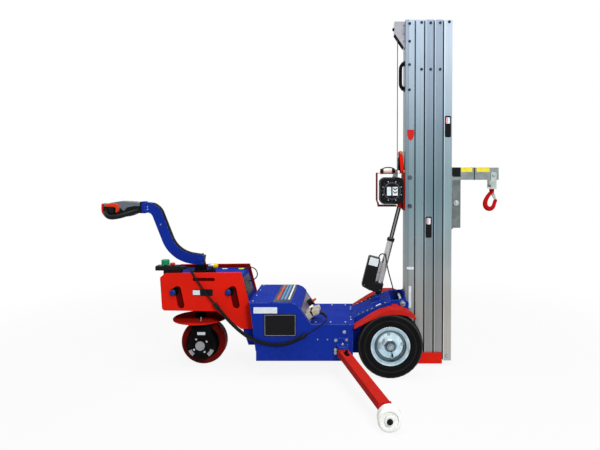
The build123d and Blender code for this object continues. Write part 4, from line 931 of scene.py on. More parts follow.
# %% The leads
SIDE_Y = -0.2683
PENDANT_Y = -0.128
CONNECTOR_ROUTE = [
    (-0.556, SIDE_Y, 0.2391), (-0.518, SIDE_Y, 0.261), (-0.468, SIDE_Y - 0.006, 0.290),
    (-0.424, -0.271, 0.320), (-0.399, -0.261, 0.337), (-0.387, -0.247, 0.352), (-0.393, -0.233, 0.368),
    (-0.413, -0.219, 0.382), (-0.440, -0.208, 0.388), (-0.4634, -0.204, 0.384),
]
HOUSING_ROUTE = [
    (-0.950, 0.060, 0.603), (-0.930, 0.060, 0.615), (-0.906, 0.060, 0.619), (-0.882, 0.060, 0.610),
    (-0.866, 0.060, 0.590), (-0.862, 0.060, 0.566), (-0.872, 0.060, 0.545), (-0.892, 0.060, 0.532),
    (-0.9166, 0.060, 0.527),
]
MOTOR_ROUTE = [
    (-0.054, -0.020, 0.6929), (-0.0525, -0.022, 0.703), (-0.0475, -0.025, 0.713), (-0.040, -0.0285, 0.7195),
    (-0.030, -0.032, 0.7225), (-0.020, -0.035, 0.720), (-0.013, -0.0375, 0.7125), (-0.0095, -0.0395, 0.700),
    (-0.007, -0.0415, 0.681), (-0.002, -0.044, 0.648), (0.006, -0.046, 0.611), (0.016, -0.048, 0.573),
    (0.027, -0.050, 0.533), (0.037, -0.052, 0.495), (0.046, -0.054, 0.460), (0.056, -0.056, 0.431),
]


def pendant_route(offset):
    """One of two leads that run together: side by side at the pendant, and one above the other below it."""
    dx, dz = 0.76 * offset, 0.65 * offset
    return [
        (-1.2893, PENDANT_Y + offset, 0.649), (-1.272, PENDANT_Y - 0.002 + offset, 0.6505),
        (-1.256, PENDANT_Y - 0.019 + offset / 2, 0.650), (-1.243 + dx, -0.168, 0.637 + dz),
        (-1.229 + dx, -0.178, 0.616 + dz), (-1.207 + dx, -0.183, 0.583 + dz),
        (-1.175 + dx, -0.1845, 0.537 + dz), (-1.135 + dx, -0.1865, 0.482 + dz),
        (-1.096 + dx, -0.189, 0.437 + dz), (-1.068 + dx, -0.1916, 0.4045 + dz),
    ]


lead("pendant_lead_1", pendant_route(-0.0037), 0.0030, "loom_leads")
lead("pendant_lead_2", pendant_route(0.0037), 0.0030, "loom_leads")
lead("connector_lead", CONNECTOR_ROUTE, 0.0038, "loom_leads")
lead("housing_loop", HOUSING_ROUTE, 0.0036, "loom_leads")
lead("motor_lead", MOTOR_ROUTE, 0.0038, "actuator_lead")

# %% The ribbed conduit and its sleeves
CONDUIT_R, CONDUIT_VALLEY = 0.011, 0.0092
RIB_PITCH = 0.0048
CONDUIT_ROUTE = [
    (-1.083, -0.190, 0.422), (-1.046, -0.194, 0.379), (-1.006, -0.205, 0.337), (-0.955, -0.226, 0.296),
    (-0.912, -0.247, 0.269), (-0.866, SIDE_Y - 0.001, 0.246), (-0.818, SIDE_Y, 0.224),
    (-0.760, SIDE_Y, 0.207), (-0.697, SIDE_Y, 0.199), (-0.636, SIDE_Y, 0.206), (-0.579, SIDE_Y, 0.226),
    (-0.530, SIDE_Y, 0.254),
]
SLEEVE = turned([
    (0.0105, -0.018), (0.0135, -0.018), (0.0135, 0.012), (0.0115, 0.018), (0.0105, 0.018),
], 20, True)
conduit_line = line_of("conduit_line", from_axle(CONDUIT_ROUTE), 80)
wave = 0.5 + 0.5 * np.tanh(3.0 * np.cos(2 * np.pi * run_along(conduit_line) / RIB_PITCH))
conduit_radius = CONDUIT_VALLEY + (CONDUIT_R - CONDUIT_VALLEY) * wave
conduit_rings = conduit_radius[:, None, None] * ring_of(1.0, 14)
hose("conduit", conduit_line, conduit_rings, JACKET, "loom_conduit")
for name, end, before in (("conduit_sleeve_rear", 0, 14), ("conduit_sleeve_front", -1, -15)):
    conduit_sleeve = put(SLEEVE, [conduit_line[end]], conduit_line[end] - conduit_line[before])
    piece(name, conduit_sleeve, JACKET, "frame")

# %% [markdown]
# ## Hoist rope
# Wire rope is six strands laid in a helix. At this thickness one skin is enough: its outline has six
# lobes, and the lobes turn as the skin runs along the spline. The rope goes up from the drum, over the
# top sheave and down inside the first mast section, so it stands for the plain solid of the same route.

# %% The laid rope
ROPE_R, ROPE_LAY, STRANDS, SKIN_SIDES = 0.003, 0.020, 6, 24
WINCH = np.array([0.025, 0.0, 1.135])
SHEAVE_X, SHEAVE_Z, SHEAVE_R = 0.100, 2.165, 0.033
corner_lift = SHEAVE_R * math.tan(math.pi / 8)
rope_up, rope_down, rope_top = SHEAVE_X - SHEAVE_R, SHEAVE_X + SHEAVE_R, SHEAVE_Z + SHEAVE_R
ROPE_ROUTE = [
    (rope_up, WINCH[2]), (rope_up, 2.05), (rope_up, SHEAVE_Z + corner_lift),
    (SHEAVE_X - corner_lift, rope_top), (SHEAVE_X + corner_lift, rope_top),
    (rope_down, SHEAVE_Z + corner_lift), (rope_down, 2.05), (rope_down, 0.06),
]
rope_line = line_of("rope_line", upright(ROPE_ROUTE), 110)
angle = np.linspace(0, 2 * np.pi, SKIN_SIDES, endpoint=False)
lobes = 0.5 + 0.5 * np.cos(STRANDS * (angle - 2 * np.pi * run_along(rope_line)[:, None] / ROPE_LAY))
rope_rings = (ROPE_R * (0.82 + 0.18 * lobes))[..., None] * ring_of(1.0, SKIN_SIDES)
hose("wire_rope", rope_line, rope_rings, ROPE_STEEL, "hoist_rope", 80.0)

# %% [markdown]
# ## Main tyres
# The wheels are hand-truck size, with a rounded casing and a zigzag tread. A casing is a grid: one way
# round the wheel, the other way round the section. The section is a superellipse, and the tread is cut by
# taking a little off the radius wherever a groove's centre line is near.

# %% Tyres with a cut tread
WHEEL_Y = 0.257
SECTION_MIDDLE_R, SECTION_HALF_W = 0.152, 0.050
SHOULDER_BULGE = 0.006
TREAD_DEPTH, TREAD_PITCHES = 0.0045, 36
GROOVES, SIDE_RINGS = (-0.46, 0.0, 0.46), (0.136, 0.168)
SECTION_STEPS, WHEEL_STEPS = 97, 432


def casing(centre, sign):
    """Closed grid: section angle against wheel angle, with grooves, shoulder slots and two sidewall rings.

    Across the section, offset = half width x |sin|^power and radius = middle + half height x |cos|^power. The
    power is small at the tread, for square shoulders, and larger at the beads. The outer shoulder bulges."""
    phi = np.radians(np.linspace(-150, 150, SECTION_STEPS))[:, None]
    theta = np.linspace(0, 2 * np.pi, WHEEL_STEPS, endpoint=False)[None]
    sine, cosine = np.sin(phi), np.cos(phi)
    power = np.where(cosine > 0, 0.5, 0.85)
    bulge = SHOULDER_BULGE * np.clip(2 * cosine, 0, 1) * (sign * sine > 0)
    offset = (SECTION_HALF_W + bulge) * np.sign(sine) * np.abs(sine) ** power
    radius = SECTION_MIDDLE_R + (WHEEL_R - SECTION_MIDDLE_R) * np.sign(cosine) * np.abs(cosine) ** power
    share = offset / SECTION_HALF_W
    zigzag = 2 / np.pi * np.arcsin(np.sin(TREAD_PITCHES * theta))
    lines = np.array(GROOVES)[:, None, None]
    ribs = np.clip(1.6 - np.abs(share - lines - 0.07 * zigzag) / 0.05, 0, 1).max(axis=0)
    slots = np.clip(4 * (np.cos(TREAD_PITCHES * theta) - 0.35), 0, 1)
    slots = slots * np.clip((np.abs(share) - 0.62) * 12, 0, 1) * np.clip((0.9 - np.abs(share)) * 12, 0, 1)
    crown = (cosine > 0.5) * 1.0
    rings = sum(np.exp(-((radius - ring_r) / 0.0022) ** 2) for ring_r in SIDE_RINGS)
    offset = offset + 0.0012 * rings * np.sign(offset) * (cosine < 0.8) + 0 * theta
    radius = radius - TREAD_DEPTH * crown * np.maximum(ribs, slots)
    points = np.stack([radius * np.cos(theta), offset, radius * np.sin(theta)], axis=-1) + centre
    return points.reshape(-1, 3), [grid_faces(SECTION_STEPS, WHEEL_STEPS, True, True)]


for side, sign, _ in SIDES:
    tyre = casing(from_axle((0.0, sign * WHEEL_Y, WHEEL_R)), sign)
    piece(f"{side}_casing", tyre, TYRE, f"{side}_wheel", sharp=60.0, stands_for=f"{side}_tyre")

# %% [markdown]
# ## Fasteners
# A bolt head is a turned profile with six sides, on a round washer. A screw head is a low dome with a
# socket. Both are made once, copied to every place as arrays, and set down on the solid that carries them
# by casting a line. They ride on that solid's body.


# %% Fastener shapes
def hex_bolt(radius, height, washer=1.55):
    """Washer with a chamfered six-sided head on it."""
    wide, low, high = washer * radius, 0.25 * height, 1.25 * height
    disc = turned([(0, 0), (wide, 0), (wide, low), (0, low)], 24)
    corner = (0.84 * radius, high)
    head = turned([(0, low), (radius, low), (radius, high - 0.2 * height), corner, (0, high)], 6)
    return together(disc, head)


def dome_screw(radius, height):
    """Button head with a socket sunk in its crown."""
    socket, floor = 0.45 * radius, 0.45 * height
    return turned([
        (0, 0), (radius, 0), (radius, 0.3 * height), (0.86 * radius, 0.72 * height), (0.6 * radius, height),
        (socket, height), (0.8 * socket, floor), (0, floor),
    ], 18)


def fasten(name, shape, node, places, out, finish=ZINC):
    """Copies of a fastener set down on a CAD node at places given from the axle."""
    piece(name, put(shape, seat(node, places, out), out), finish, BODY_OF[node])


def fasten_both(stem, shape, node, places, finish=ZINC):
    """The same fasteners on the machine's right and left sides."""
    for side, _, out in SIDES:
        fasten(f"{side}_{stem}", shape, node, places, out, finish)


# %% Bolts and screws on the chassis, deck and cradle
DECK_SCREWS = [(x, y, 0.0) for x in (-0.458, -0.366, -0.274) for y in (-0.212, 0.212)]
DECK_SCREWS += [(-0.238, y, 0.0) for y in (-0.153, -0.099, 0.099, 0.153)]
SIDE_SCREWS = [(-0.444, 0.0, 0.229), (-0.384, 0.0, 0.229)]
HINGE_BOLTS = [(-0.332, 0.0, 0.226), (-0.266, 0.0, 0.226), (-0.334, 0.0, 0.168), (-0.334, 0.0, 0.148)]
LID_SCREWS = [(-0.846, y, 0.0) for y in (-0.225, -0.075, 0.075, 0.225)]
fasten("deck_screws", dome_screw(0.0065, 0.004), "deck_cover", DECK_SCREWS, UP)
fasten_both("side_screws", dome_screw(0.0048, 0.003), "chassis_frame", SIDE_SCREWS)
fasten_both("side_bolt", hex_bolt(0.007, 0.006), "chassis_frame", [(-0.280, 0.0, 0.275)])
fasten_both("hinge_bolts", hex_bolt(0.0065, 0.006), "outrigger_brackets", HINGE_BOLTS)
fasten("lid_hinge_screws", dome_screw(0.006, 0.0035), "box_lid", LID_SCREWS, UP)
fasten_both("pivot_nut", hex_bolt(0.012, 0.010, 1.3), "mast_pivot_pin", [(0.088, 0.0, 0.425)])

# %% Bolts on the mast, the winch, the boom and the tiller
MAST_BOLT = dome_screw(0.0095, 0.007)
SECTION_BOLTS = {
    "mast_section_1": (0.137, (2.2065, 2.093, 1.945, 1.784)), "mast_section_2": (0.2146, (2.213, 1.915)),
    "mast_section_3": (0.2731, (2.211, 1.915)), "mast_section_4": (0.3335, (2.211, 1.915)),
    "carriage": (0.3916, (2.217,)),
}
WINCH_BOLTS = [(0.1405, 0.0, 1.220), (0.1405, 0.0, 1.036)]
GUIDE_BOLTS = [(0.090, 0, 1.382), (0.1086, 0, 1.2586)]
HEAD_SCREWS = [(0.103, 0, 2.207), (0.103, 0, 2.150), (0.103, 0, 2.104)]
RIVET = dome_screw(0.0052, 0.003)
RIVETS = [(-1.567, 0.0, 1.028), (-1.567, 0.0, 1.011), (-1.482, 0.0, 0.912)]
for node, (x, heights) in SECTION_BOLTS.items():
    spots = [(x, 0.0, z) for z in heights]
    bolts = together(*(put(MAST_BOLT, seat(node, spots, out), out) for out in (NEAR, FAR)))
    piece(f"{node}_bolts", bolts, DARK_ZINC, BODY_OF[node])
fasten_both("winch_bolts", hex_bolt(0.0098, 0.010), "mast_section_1", WINCH_BOLTS, MID_ZINC)
fasten_both("guide_bolts", hex_bolt(0.0065, 0.006), "rope_guide_arm", GUIDE_BOLTS, BRASS)
fasten_both("head_screws", dome_screw(0.0055, 0.0045), "rope_head", HEAD_SCREWS)
fasten_both("post_bolt", hex_bolt(0.0115, 0.010), "boom", [(0.4505, 0.0, 1.0545)], BRIGHT)
fasten_both("hook_pin_head", hex_bolt(0.0095, 0.006, 1.3), "boom", [(0.688, 0, 1.232)])
fasten_both("foot_bolt", hex_bolt(0.0085, 0.007), "carriage", [(0.384, 0, 0.062)])
fasten("right_tiller_rivets", RIVET, "tiller_arm", RIVETS[2:], NEAR)
fasten("right_collar_screws", RIVET, "tiller_arm", RIVETS[:2], NEAR)
fasten("left_tiller_rivets", RIVET, "tiller_arm", RIVETS, FAR)

# %% [markdown]
# ## Blank plates and tapes
# Where a machine like this carries labels, this one has blank plates and plain tapes of the same size. A
# plate is a rounded outline with a little thickness, laid on the solid that carries it, with its back
# sunk a little.

# %% Plates on the chassis, lid, counterweights and boom
SUNK = -0.0002
PANEL_MIDDLE = (-0.6748, 0, 0.3168)


def plate(name, node, middle, size, film, out=NEAR, along=FORWARD, radius=0.003, thick=0.0008, lift=0.0):
    """A rounded plate on a CAD node, dropped at its middle, with its long direction given by along."""
    place = seat(node, [middle], out) + lift * np.asarray(out)
    piece(name, put(slab(*size, radius, SUNK, thick), place, out, along), film, BODY_OF[node], 0.0003)


for side, _, out in SIDES:
    plate(f"{side}_panel", "chassis_frame", PANEL_MIDDLE, (0.199, 0.138), PANEL_BLACK, out,
          radius=0.004, thick=0.0016)
    plate(f"{side}_rating_plate", "chassis_frame", (-0.765, 0, 0.409), (0.145, 0.038), PAPER_WHITE, out)
    plate(f"{side}_weight_plate", "counterweight_plates", (-1.1712, 0, 0.4985), (0.127, 0.043), PANEL_BLACK,
          out, radius=0.007)
    plate(f"{side}_weight_label", "counterweight_plates", (-1.2105, 0, 0.4985), (0.044, 0.031), PAPER_WHITE,
          out, radius=0.002, thick=0.0005, lift=0.0008)
    for end, x, length in (("rear", 0.514, 0.073), ("front", 0.6195, 0.084)):
        plate(f"{side}_boom_tape_{end}", "boom", (x, 0, 1.2695), (length, 0.026), TAPE_YELLOW, out,
              radius=0.001, thick=0.0004)
plate("lid_band", "box_lid", (-0.664, 0.0, 0.0), (0.112, 0.500), PANEL_BLACK, UP,
      radius=0.001, thick=0.0005)
for stripe, x, width, tape in (
    ("white", -0.628, 0.010, PAPER_WHITE), ("blue", -0.652, 0.014, STRIPE_BLUE),
    ("sky", -0.673, 0.010, STRIPE_BLUE), ("red", -0.697, 0.014, STRIPE_RED),
):
    plate(f"lid_stripe_{stripe}", "box_lid", (x, 0.03, 0.0), (width, 0.43), tape, UP,
          radius=0.001, thick=0.0003, lift=0.0005)

# %% Plates on the mast
TAPERED = [
    (-0.022, 0.034), (0.022, 0.034), (0.023, 0.0), (0.014, -0.026), (0.0, -0.038), (-0.014, -0.026),
    (-0.023, 0.0),
]
for stem, node, x, z in (("mast", "mast_section_3", 0.2635, 0.900), ("carriage", "carriage", 0.3855, 1.548)):
    face = z + 0.039
    plate(f"{stem}_capsule", node, (x, 0, z), (0.137, 0.040), PANEL_BLACK, NEAR, UP, radius=0.008)
    plate(f"{stem}_capsule_face", node, (x, 0, face), (0.040, 0.026), PAPER_WHITE, NEAR, UP,
          radius=0.006, thick=0.0004, lift=0.0008)
    plate(f"{stem}_capsule_tint", node, (x - 0.006, 0, face), (0.034, 0.010), FILM_PINK, NEAR, UP,
          radius=0.002, thick=0.0004, lift=0.0012)
red_seat = seat("mast_section_1", [(0.1455, 0, 1.4945)], NEAR)
red_plate = put(prism(TAPERED, SUNK, 0.0008), red_seat, NEAR)
piece("mast_red_plate", red_plate, STRIPE_RED, "mast", 0.0003)
plate("mast_scale", "mast_section_1", (0.1444, 0, 0.447), (0.142, 0.017), PAPER_WHITE, NEAR, UP,
      radius=0.001)
plate("mast_mark", "mast_section_1", (0.146, 0, 0.6345), (0.016, 0.045), PAPER_WHITE, NEAR, UP,
      radius=0.001)

# %% Trim on the tilt actuator
ACTUATOR_PIN = np.array([-0.070, 0.0, 0.436])
ACTUATOR_UP, ACTUATOR_OUT = np.array([0.2456, 0.0, 0.9694]), np.array([0.9694, 0.0, -0.2456])
ACTUATOR_FOOT = from_axle([ACTUATOR_PIN])
TUBE_R = 0.021
SEAL = turned([(0.0145, 0.377), (0.0247, 0.377), (0.0247, 0.396), (0.0225, 0.400), (0.0145, 0.400)], 32, True)


def on_actuator(up, out):
    """A point beside the actuator: up along it from its lower pin, and out towards the mast."""
    return tuple(ACTUATOR_PIN + up * ACTUATOR_UP + out * ACTUATOR_OUT)


MOTOR_SCREWS = [
    on_actuator(0.060, -0.098), on_actuator(0.240, -0.106), on_actuator(0.240, -0.046),
    on_actuator(0.052, 0.010),
]
plate("motor_label", "actuator_housing", on_actuator(0.222, -0.074), (0.052, 0.060), PAPER_WHITE, NEAR,
      ACTUATOR_UP)
tube_label = prism(ring_sector(TUBE_R - 0.0002, TUBE_R + 0.0006, -62, 62, 18), 0.108, 0.224)
piece("tube_label", put(tube_label, ACTUATOR_FOOT, ACTUATOR_UP, NEAR), LABEL_GREY, "actuator")
fairing = prism([(-0.050, 0.100), (0.0, 0.100), (0.0, 0.232), (-0.050, 0.232)], -0.010, 0.010)
piece("tube_fairing", put(fairing, ACTUATOR_FOOT, NEAR, ACTUATOR_OUT), LABEL_GREY, "actuator", 0.0015)
piece("tube_seal", put(SEAL, ACTUATOR_FOOT, ACTUATOR_UP, NEAR), BLACK_PLASTIC, "actuator")
fasten_both("motor_screws", dome_screw(0.0036, 0.003), "actuator_housing", MOTOR_SCREWS)

# %% [markdown]
# ## Drive unit
# The motor's face carries a ribbed cap, four bolts, a blank label and two pale cooling pads. The pads are
# arcs, so their outline is a band between two radii, carried outwards a few millimetres.

# %% Trim on the drive motor
MOTOR = (-1.202, 0.0, 0.145)
CAP_R, CAP_HIGH, CAP_GROOVE = 0.030, 0.004, 0.0012
DISC_STUD = turned([(0, 0), (0.0035, 0), (0.0035, 0.024), (0.0028, 0.026), (0, 0.026)], 12)
motor_places = around(MOTOR, 0.048, 33 + 90 * np.arange(4))
fasten("motor_bolts", dome_screw(0.0085, 0.007), "drive_motor", motor_places, NEAR, BRIGHT)
cap_rings = enumerate(np.linspace(0.08, 0.92, 11))
cap_profile = [(0, CAP_HIGH)]
cap_profile += [(CAP_R * share, CAP_HIGH - CAP_GROOVE * (index % 2)) for index, share in cap_rings]
cap_profile += [(CAP_R, 0.002), (CAP_R, 0.0)]
fasten("motor_cap", turned(cap_profile, 40), "drive_motor", [MOTOR], NEAR, PALE_GREY)
pad_seat = seat("drive_motor", [np.add(MOTOR, (0.0, 0.0, -0.078))], NEAR)
pads = together(
    prism(ring_sector(0.066, 0.088, 205, 233), -0.001, 0.004),
    prism(ring_sector(0.066, 0.090, 306, 338), -0.001, 0.005),
)
pad_place = [MOTOR[0] + AXLE_X, pad_seat[0][1], MOTOR[2]]
piece("motor_pads", put(pads, pad_place, NEAR), PALE_GREY, "steering", 0.0008)
plate("motor_plate", "drive_motor", (-1.199, 0, 0.219), (0.051, 0.019), PAPER_WHITE, radius=0.0015)
fasten("disc_bolt", together(hex_bolt(0.006, 0.006), DISC_STUD), "guard_disc", [(-1.201, -0.098, 0.0)], UP)

# %% [markdown]
# ## Wheels, rollers and outrigger hinges
# The rims are pressed in two halves and bolted together, with a valve through the disc and a nut on the
# axle. The rollers have a black cap, and each outrigger has a sprung latch beside its hinge pin.

# %% Wheel and outrigger trim
RIM_BOLT_R = 0.070
HINGE_X, HINGE_Y = -0.290, 0.300
LEG_RUN = unit([0.208, 0.6045, 0.0])
ROLLER = (-0.059, 0.0, 0.060)
VALVE = turned([
    (0, 0), (0.006, 0), (0.006, 0.006), (0.0042, 0.008), (0.0042, 0.02), (0.005, 0.02), (0.005, 0.03),
    (0, 0.032),
], 14)
ROLLER_CAP = turned([(0, 0.002), (0.0118, 0.002), (0.0147, 0.0), (0.0147, -0.0066), (0, -0.0066)], 28)
LATCH_KNOB = turned([
    (0, 0.004), (0.0065, 0.004), (0.0065, 0.013), (0.009, 0.015), (0.009, 0.021), (0.0075, 0.023), (0, 0.023),
])
LATCH = together(slab(0.056, 0.024, 0.006, -0.0005, 0.005), LATCH_KNOB)
rim_places = around((0.0, 0.0, WHEEL_R), RIM_BOLT_R, 8 + 90 * np.arange(4))
for side, sign, out in SIDES:
    fasten(f"{side}_rim_bolts", hex_bolt(0.0072, 0.006), f"{side}_rim", rim_places, out)
    fasten(f"{side}_valve", VALVE, f"{side}_rim", [(0.012, 0, WHEEL_R - 0.057)], out, BLACK_PLASTIC)
    fasten(f"{side}_axle_nut", hex_bolt(0.0135, 0.014, 1.3), "main_axle", [(0, 0, WHEEL_R)], out)
    fasten(f"{side}_roller_cap", ROLLER_CAP, f"{side}_outrigger", [ROLLER], out, BLACK_PLASTIC)
    hinge = np.array([HINGE_X, sign * HINGE_Y, 0.0])
    fasten(f"{side}_hinge_nut", hex_bolt(0.0095, 0.008), "outrigger_brackets", [hinge], UP)
    run = LEG_RUN * (1, sign, 1)
    latch_seat = seat(f"{side}_outrigger", [hinge + 0.072 * run], UP)
    piece(f"{side}_latch", put(LATCH, latch_seat, UP, run), BLACK_STEEL, f"{side}_leg", 0.0008)

# %% [markdown]
# ## Rear housing
# Louvred panels close the slanted front of the housing, so that the drive's controller keeps cool. A
# louvre panel is a plate with a row of ribs. The counterweights hang on studs, which have blue caps, and
# a dark red sheet of painted shade behind each plate shows through its slots.

# %% Louvres, stud caps and sheets of painted shade
HOUSING_FRONT = unit([0.338, 0.0, 0.098])
LOUVRES = [(-0.916, 0.0, 0.516), (-0.873, 0.0, 0.368)]
STUDS = [(-1.358, 0.0, 0.500), (-1.010, 0.0, 0.500)]
STUD_RING = turned([
    (0, 0), (0.0195, 0), (0.0195, 0.002), (0.0178, 0.004), (0.0155, 0.0036), (0.0150, 0.0022), (0, 0.0022),
])
STUD_CAP = turned([(0, 0.002), (0.0146, 0.002), (0.0138, 0.0042), (0.008, 0.0054), (0, 0.0056)])
SHADE_SHEET = slab(0.484, 0.215, 0.01, 0.0, 0.002)


def louvre(width, height, ribs):
    """A rounded plate with a row of ribs across it, in local XY."""
    rib = slab(0.86 * width, 0.4 * height / ribs, 0.001, 0.002, 0.0055, 3)
    offsets = (np.arange(ribs) - (ribs - 1) / 2) * 0.86 * height / ribs
    bars = put(rib, np.stack([0 * offsets, offsets, 0 * offsets], axis=1))
    return together(slab(width, height, 0.006, -0.0003, 0.0022), bars)


grilles = put(louvre(0.205, 0.118, 7), seat("rear_housing", LOUVRES, HOUSING_FRONT), HOUSING_FRONT, FAR)
piece("housing_louvres", grilles, GRILLE_GREY, "frame", 0.0006)
fasten_both("stud_rings", STUD_RING, "counterweight_studs", STUDS, DARK_ZINC)
fasten_both("stud_caps", STUD_CAP, "counterweight_studs", STUDS, BLUE)
# Behind each plate's slots, a dark red sheet: painted shade.
for side, sign, out in SIDES:
    sheet = put(SHADE_SHEET, from_axle((-1.171, sign * 0.1445, 0.492)), out)
    piece(f"{side}_shade_sheet", sheet, SHADE_RED, "frame")

# %% Plug, plate and dot on the housing's top
PLUG_BODY = turned([
    (0, 0), (0.012, 0), (0.014, 0.003), (0.014, 0.022), (0.0155, 0.023), (0.0155, 0.036), (0, 0.036),
])
PLUG_CAP = turned([(0, 0.035), (0.0165, 0.035), (0.0165, 0.054), (0.013, 0.060), (0.006, 0.062), (0, 0.062)])
plug_seat = seat("rear_housing", [(-1.140, -0.040, 0.0)], UP)
plug_place = from_axle((-1.166, -0.040, 0.645))
piece("plug_bracket", put(slab(0.034, 0.050, 0.004, 0.0, 0.030), plug_seat), BLACK_PLASTIC, "frame", 0.001)
piece("plug_body", put(PLUG_BODY, plug_place, FORWARD, UP), ZINC, "frame")
piece("plug_cap", put(PLUG_CAP, plug_place, FORWARD, UP), YELLOW_PLASTIC, "frame")
plate("housing_label", "rear_housing", (-1.090, 0.100, 0), (0.034, 0.026), PAPER_WHITE, UP)
dot = prism(ring_of(0.020, 32), SUNK, 0.0012)
fasten("housing_dot", dot, "rear_housing", [(-0.978, 0.102, 0)], UP, DOT_GREEN)

# %% [markdown]
# ## Deck, connectors and control panel
# Rubber strips with a row of studs edge the ramp. The battery connectors have rows of contacts and a
# moulded boot where the lead goes in, and the panel on the chassis side has a plain pale border.

# %% Ramp strips
RAMP_OUT, RAMP_ALONG = unit([-0.107, 0.0, 0.240]), unit([0.240, 0.0, 0.107])
STUD_STEPS = np.linspace(-0.092, 0.092, 7)[:, None]
for side, sign, _ in SIDES:
    middle = np.array([-0.105, sign * 0.136, 0.389])
    plate(f"{side}_ramp_strip", "deck_cover", middle, (0.205, 0.020), RUBBER, RAMP_OUT, RAMP_ALONG,
          thick=0.0015)
    stud_places = middle + STUD_STEPS * RAMP_ALONG
    fasten(f"{side}_ramp_studs", dome_screw(0.0046, 0.0034), "deck_cover", stud_places, RAMP_OUT)
plate("ramp_label", "deck_cover", (-0.062, -0.130, 0.408), (0.034, 0.022), PAPER_WHITE, RAMP_OUT, RAMP_ALONG,
      radius=0.002, lift=0.0042)

# %% Connectors, socket and isolator on the sloping panel
SLOPE_UP, SLOPE_OUT = unit([-0.067, 0.0, 0.097]), unit([0.097, 0.0, 0.067])
PLUG_OUT, PLUG_UP = unit([0.93, 0.0, 0.37]), unit([-0.37, 0.0, 0.93])
SLOPE_FOOT = np.array([-0.485, 0.0, 0.320])
CONNECTOR_Y = (-0.204, -0.132)
SOCKET = turned([
    (0, 0.0), (0.018, 0.0), (0.018, 0.024), (0.0165, 0.026), (0.011, 0.026), (0.010, 0.024), (0.010, 0.012),
    (0, 0.012),
], 28)
ISOLATOR = turned([(0.0064, 0.034), (0.0222, 0.034), (0.024, 0.032), (0.024, 0.0), (0.0064, 0.0)], 32, True)
PLUG = together(slab(0.033, 0.050, 0.004, 0.011, 0.048), slab(0.026, 0.040, 0.004, 0.046, 0.056))
CONTACTS = put(slab(0.020, 0.006, 0.002, -0.0255, 0.0255, 3), [(0.026, -0.008, 0), (0.026, 0.008, 0)])


def on_slope(up, across, out=0.0):
    """A point by the sloping panel: up from its foot, across the machine and out of the panel."""
    return from_axle(SLOPE_FOOT + up * SLOPE_UP + out * SLOPE_OUT + (0, across, 0))


slope_seats = [on_slope(0.046, y) for y in CONNECTOR_Y]
plug_seats = [on_slope(0.048, y, 0.030) for y in CONNECTOR_Y]
receptacles = put(slab(0.037, 0.056, 0.003, 0.0, 0.031), slope_seats, SLOPE_OUT, SLOPE_UP)
pairs = together(receptacles, put(PLUG, plug_seats, PLUG_OUT, PLUG_UP))
gaskets = put(slab(0.029, 0.046, 0.003, -0.006, 0.013), plug_seats, PLUG_OUT, PLUG_UP)
socket = put(SOCKET, on_slope(0.034, 0.010), SLOPE_OUT)
isolator = put(ISOLATOR, on_slope(0.062, 0.062), SLOPE_OUT)
piece("connector_pairs", pairs, CONNECTOR_GREY, "frame", 0.0012, stands_for="power_connectors")
piece("connector_gaskets", gaskets, BLACK_PLASTIC, "frame")
piece("panel_socket", socket, NYLON, "frame", stands_for="power_connectors")
piece("connector_contacts", put(CONTACTS, plug_seats, NEAR, PLUG_OUT), BRASS, "frame")
piece("isolator_body", isolator, BLACK_PLASTIC, "frame", stands_for="power_connectors")
# A sheet over the whole sloping face, in grey-mauve: painted reflection and shade.
plate("slope_shade_sheet", "chassis_frame", SLOPE_FOOT + 0.059 * SLOPE_UP, (0.100, 0.470), SLOPE_SHADE_FILM, SLOPE_OUT,
      SLOPE_UP, radius=0.004)

# %% Boot on the connector's lead
BOOT_LENGTH = 0.085
boot_line = line_of("boot_line", from_axle(CONNECTOR_ROUTE), 24)
boot_run = run_along(boot_line)
boot_share = 1 - (boot_run[-1] - boot_run) / BOOT_LENGTH
boot_line, boot_share = boot_line[boot_share > 0], boot_share[boot_share > 0]
boot_radius = 0.0084 + 0.0040 * boot_share + 0.0007 * np.cos(60 * boot_share)
boot = swept(boot_line, boot_radius[:, None, None] * ring_of(1.0, 16))
piece("connector_boot", boot, JACKET, "frame")

# %% Borders of the side panels
PANEL_W, PANEL_H, LINE_W, LINE_T, LINE_LIFT = 0.186, 0.126, 0.0022, 0.0004, 0.0014
BARS = together(
    put(slab(PANEL_W, LINE_W, 0.0005, 0.0, LINE_T, 2), [(0, PANEL_H / 2, 0), (0, -PANEL_H / 2, 0)]),
    put(slab(LINE_W, PANEL_H, 0.0005, 0.0, LINE_T, 2), [(PANEL_W / 2, 0, 0), (-PANEL_W / 2, 0, 0)]),
)
for side, _, out in SIDES:
    panel_place = seat("chassis_frame", [PANEL_MIDDLE], out) + LINE_LIFT * np.array(out)
    piece(f"{side}_panel_border", put(BARS, panel_place, out), PALE_GREY, "frame")

# %% [markdown]
# ## Winch
# The gearbox is a casting, so its cover has a ring of screws and stiffening ribs, a lip and a bead, whose
# lighter grey is a painted highlight. Rope is wound on the drum: its line is a helix, with one turn for
# every rope's width. The crank's grip is a loose sleeve with black ends.

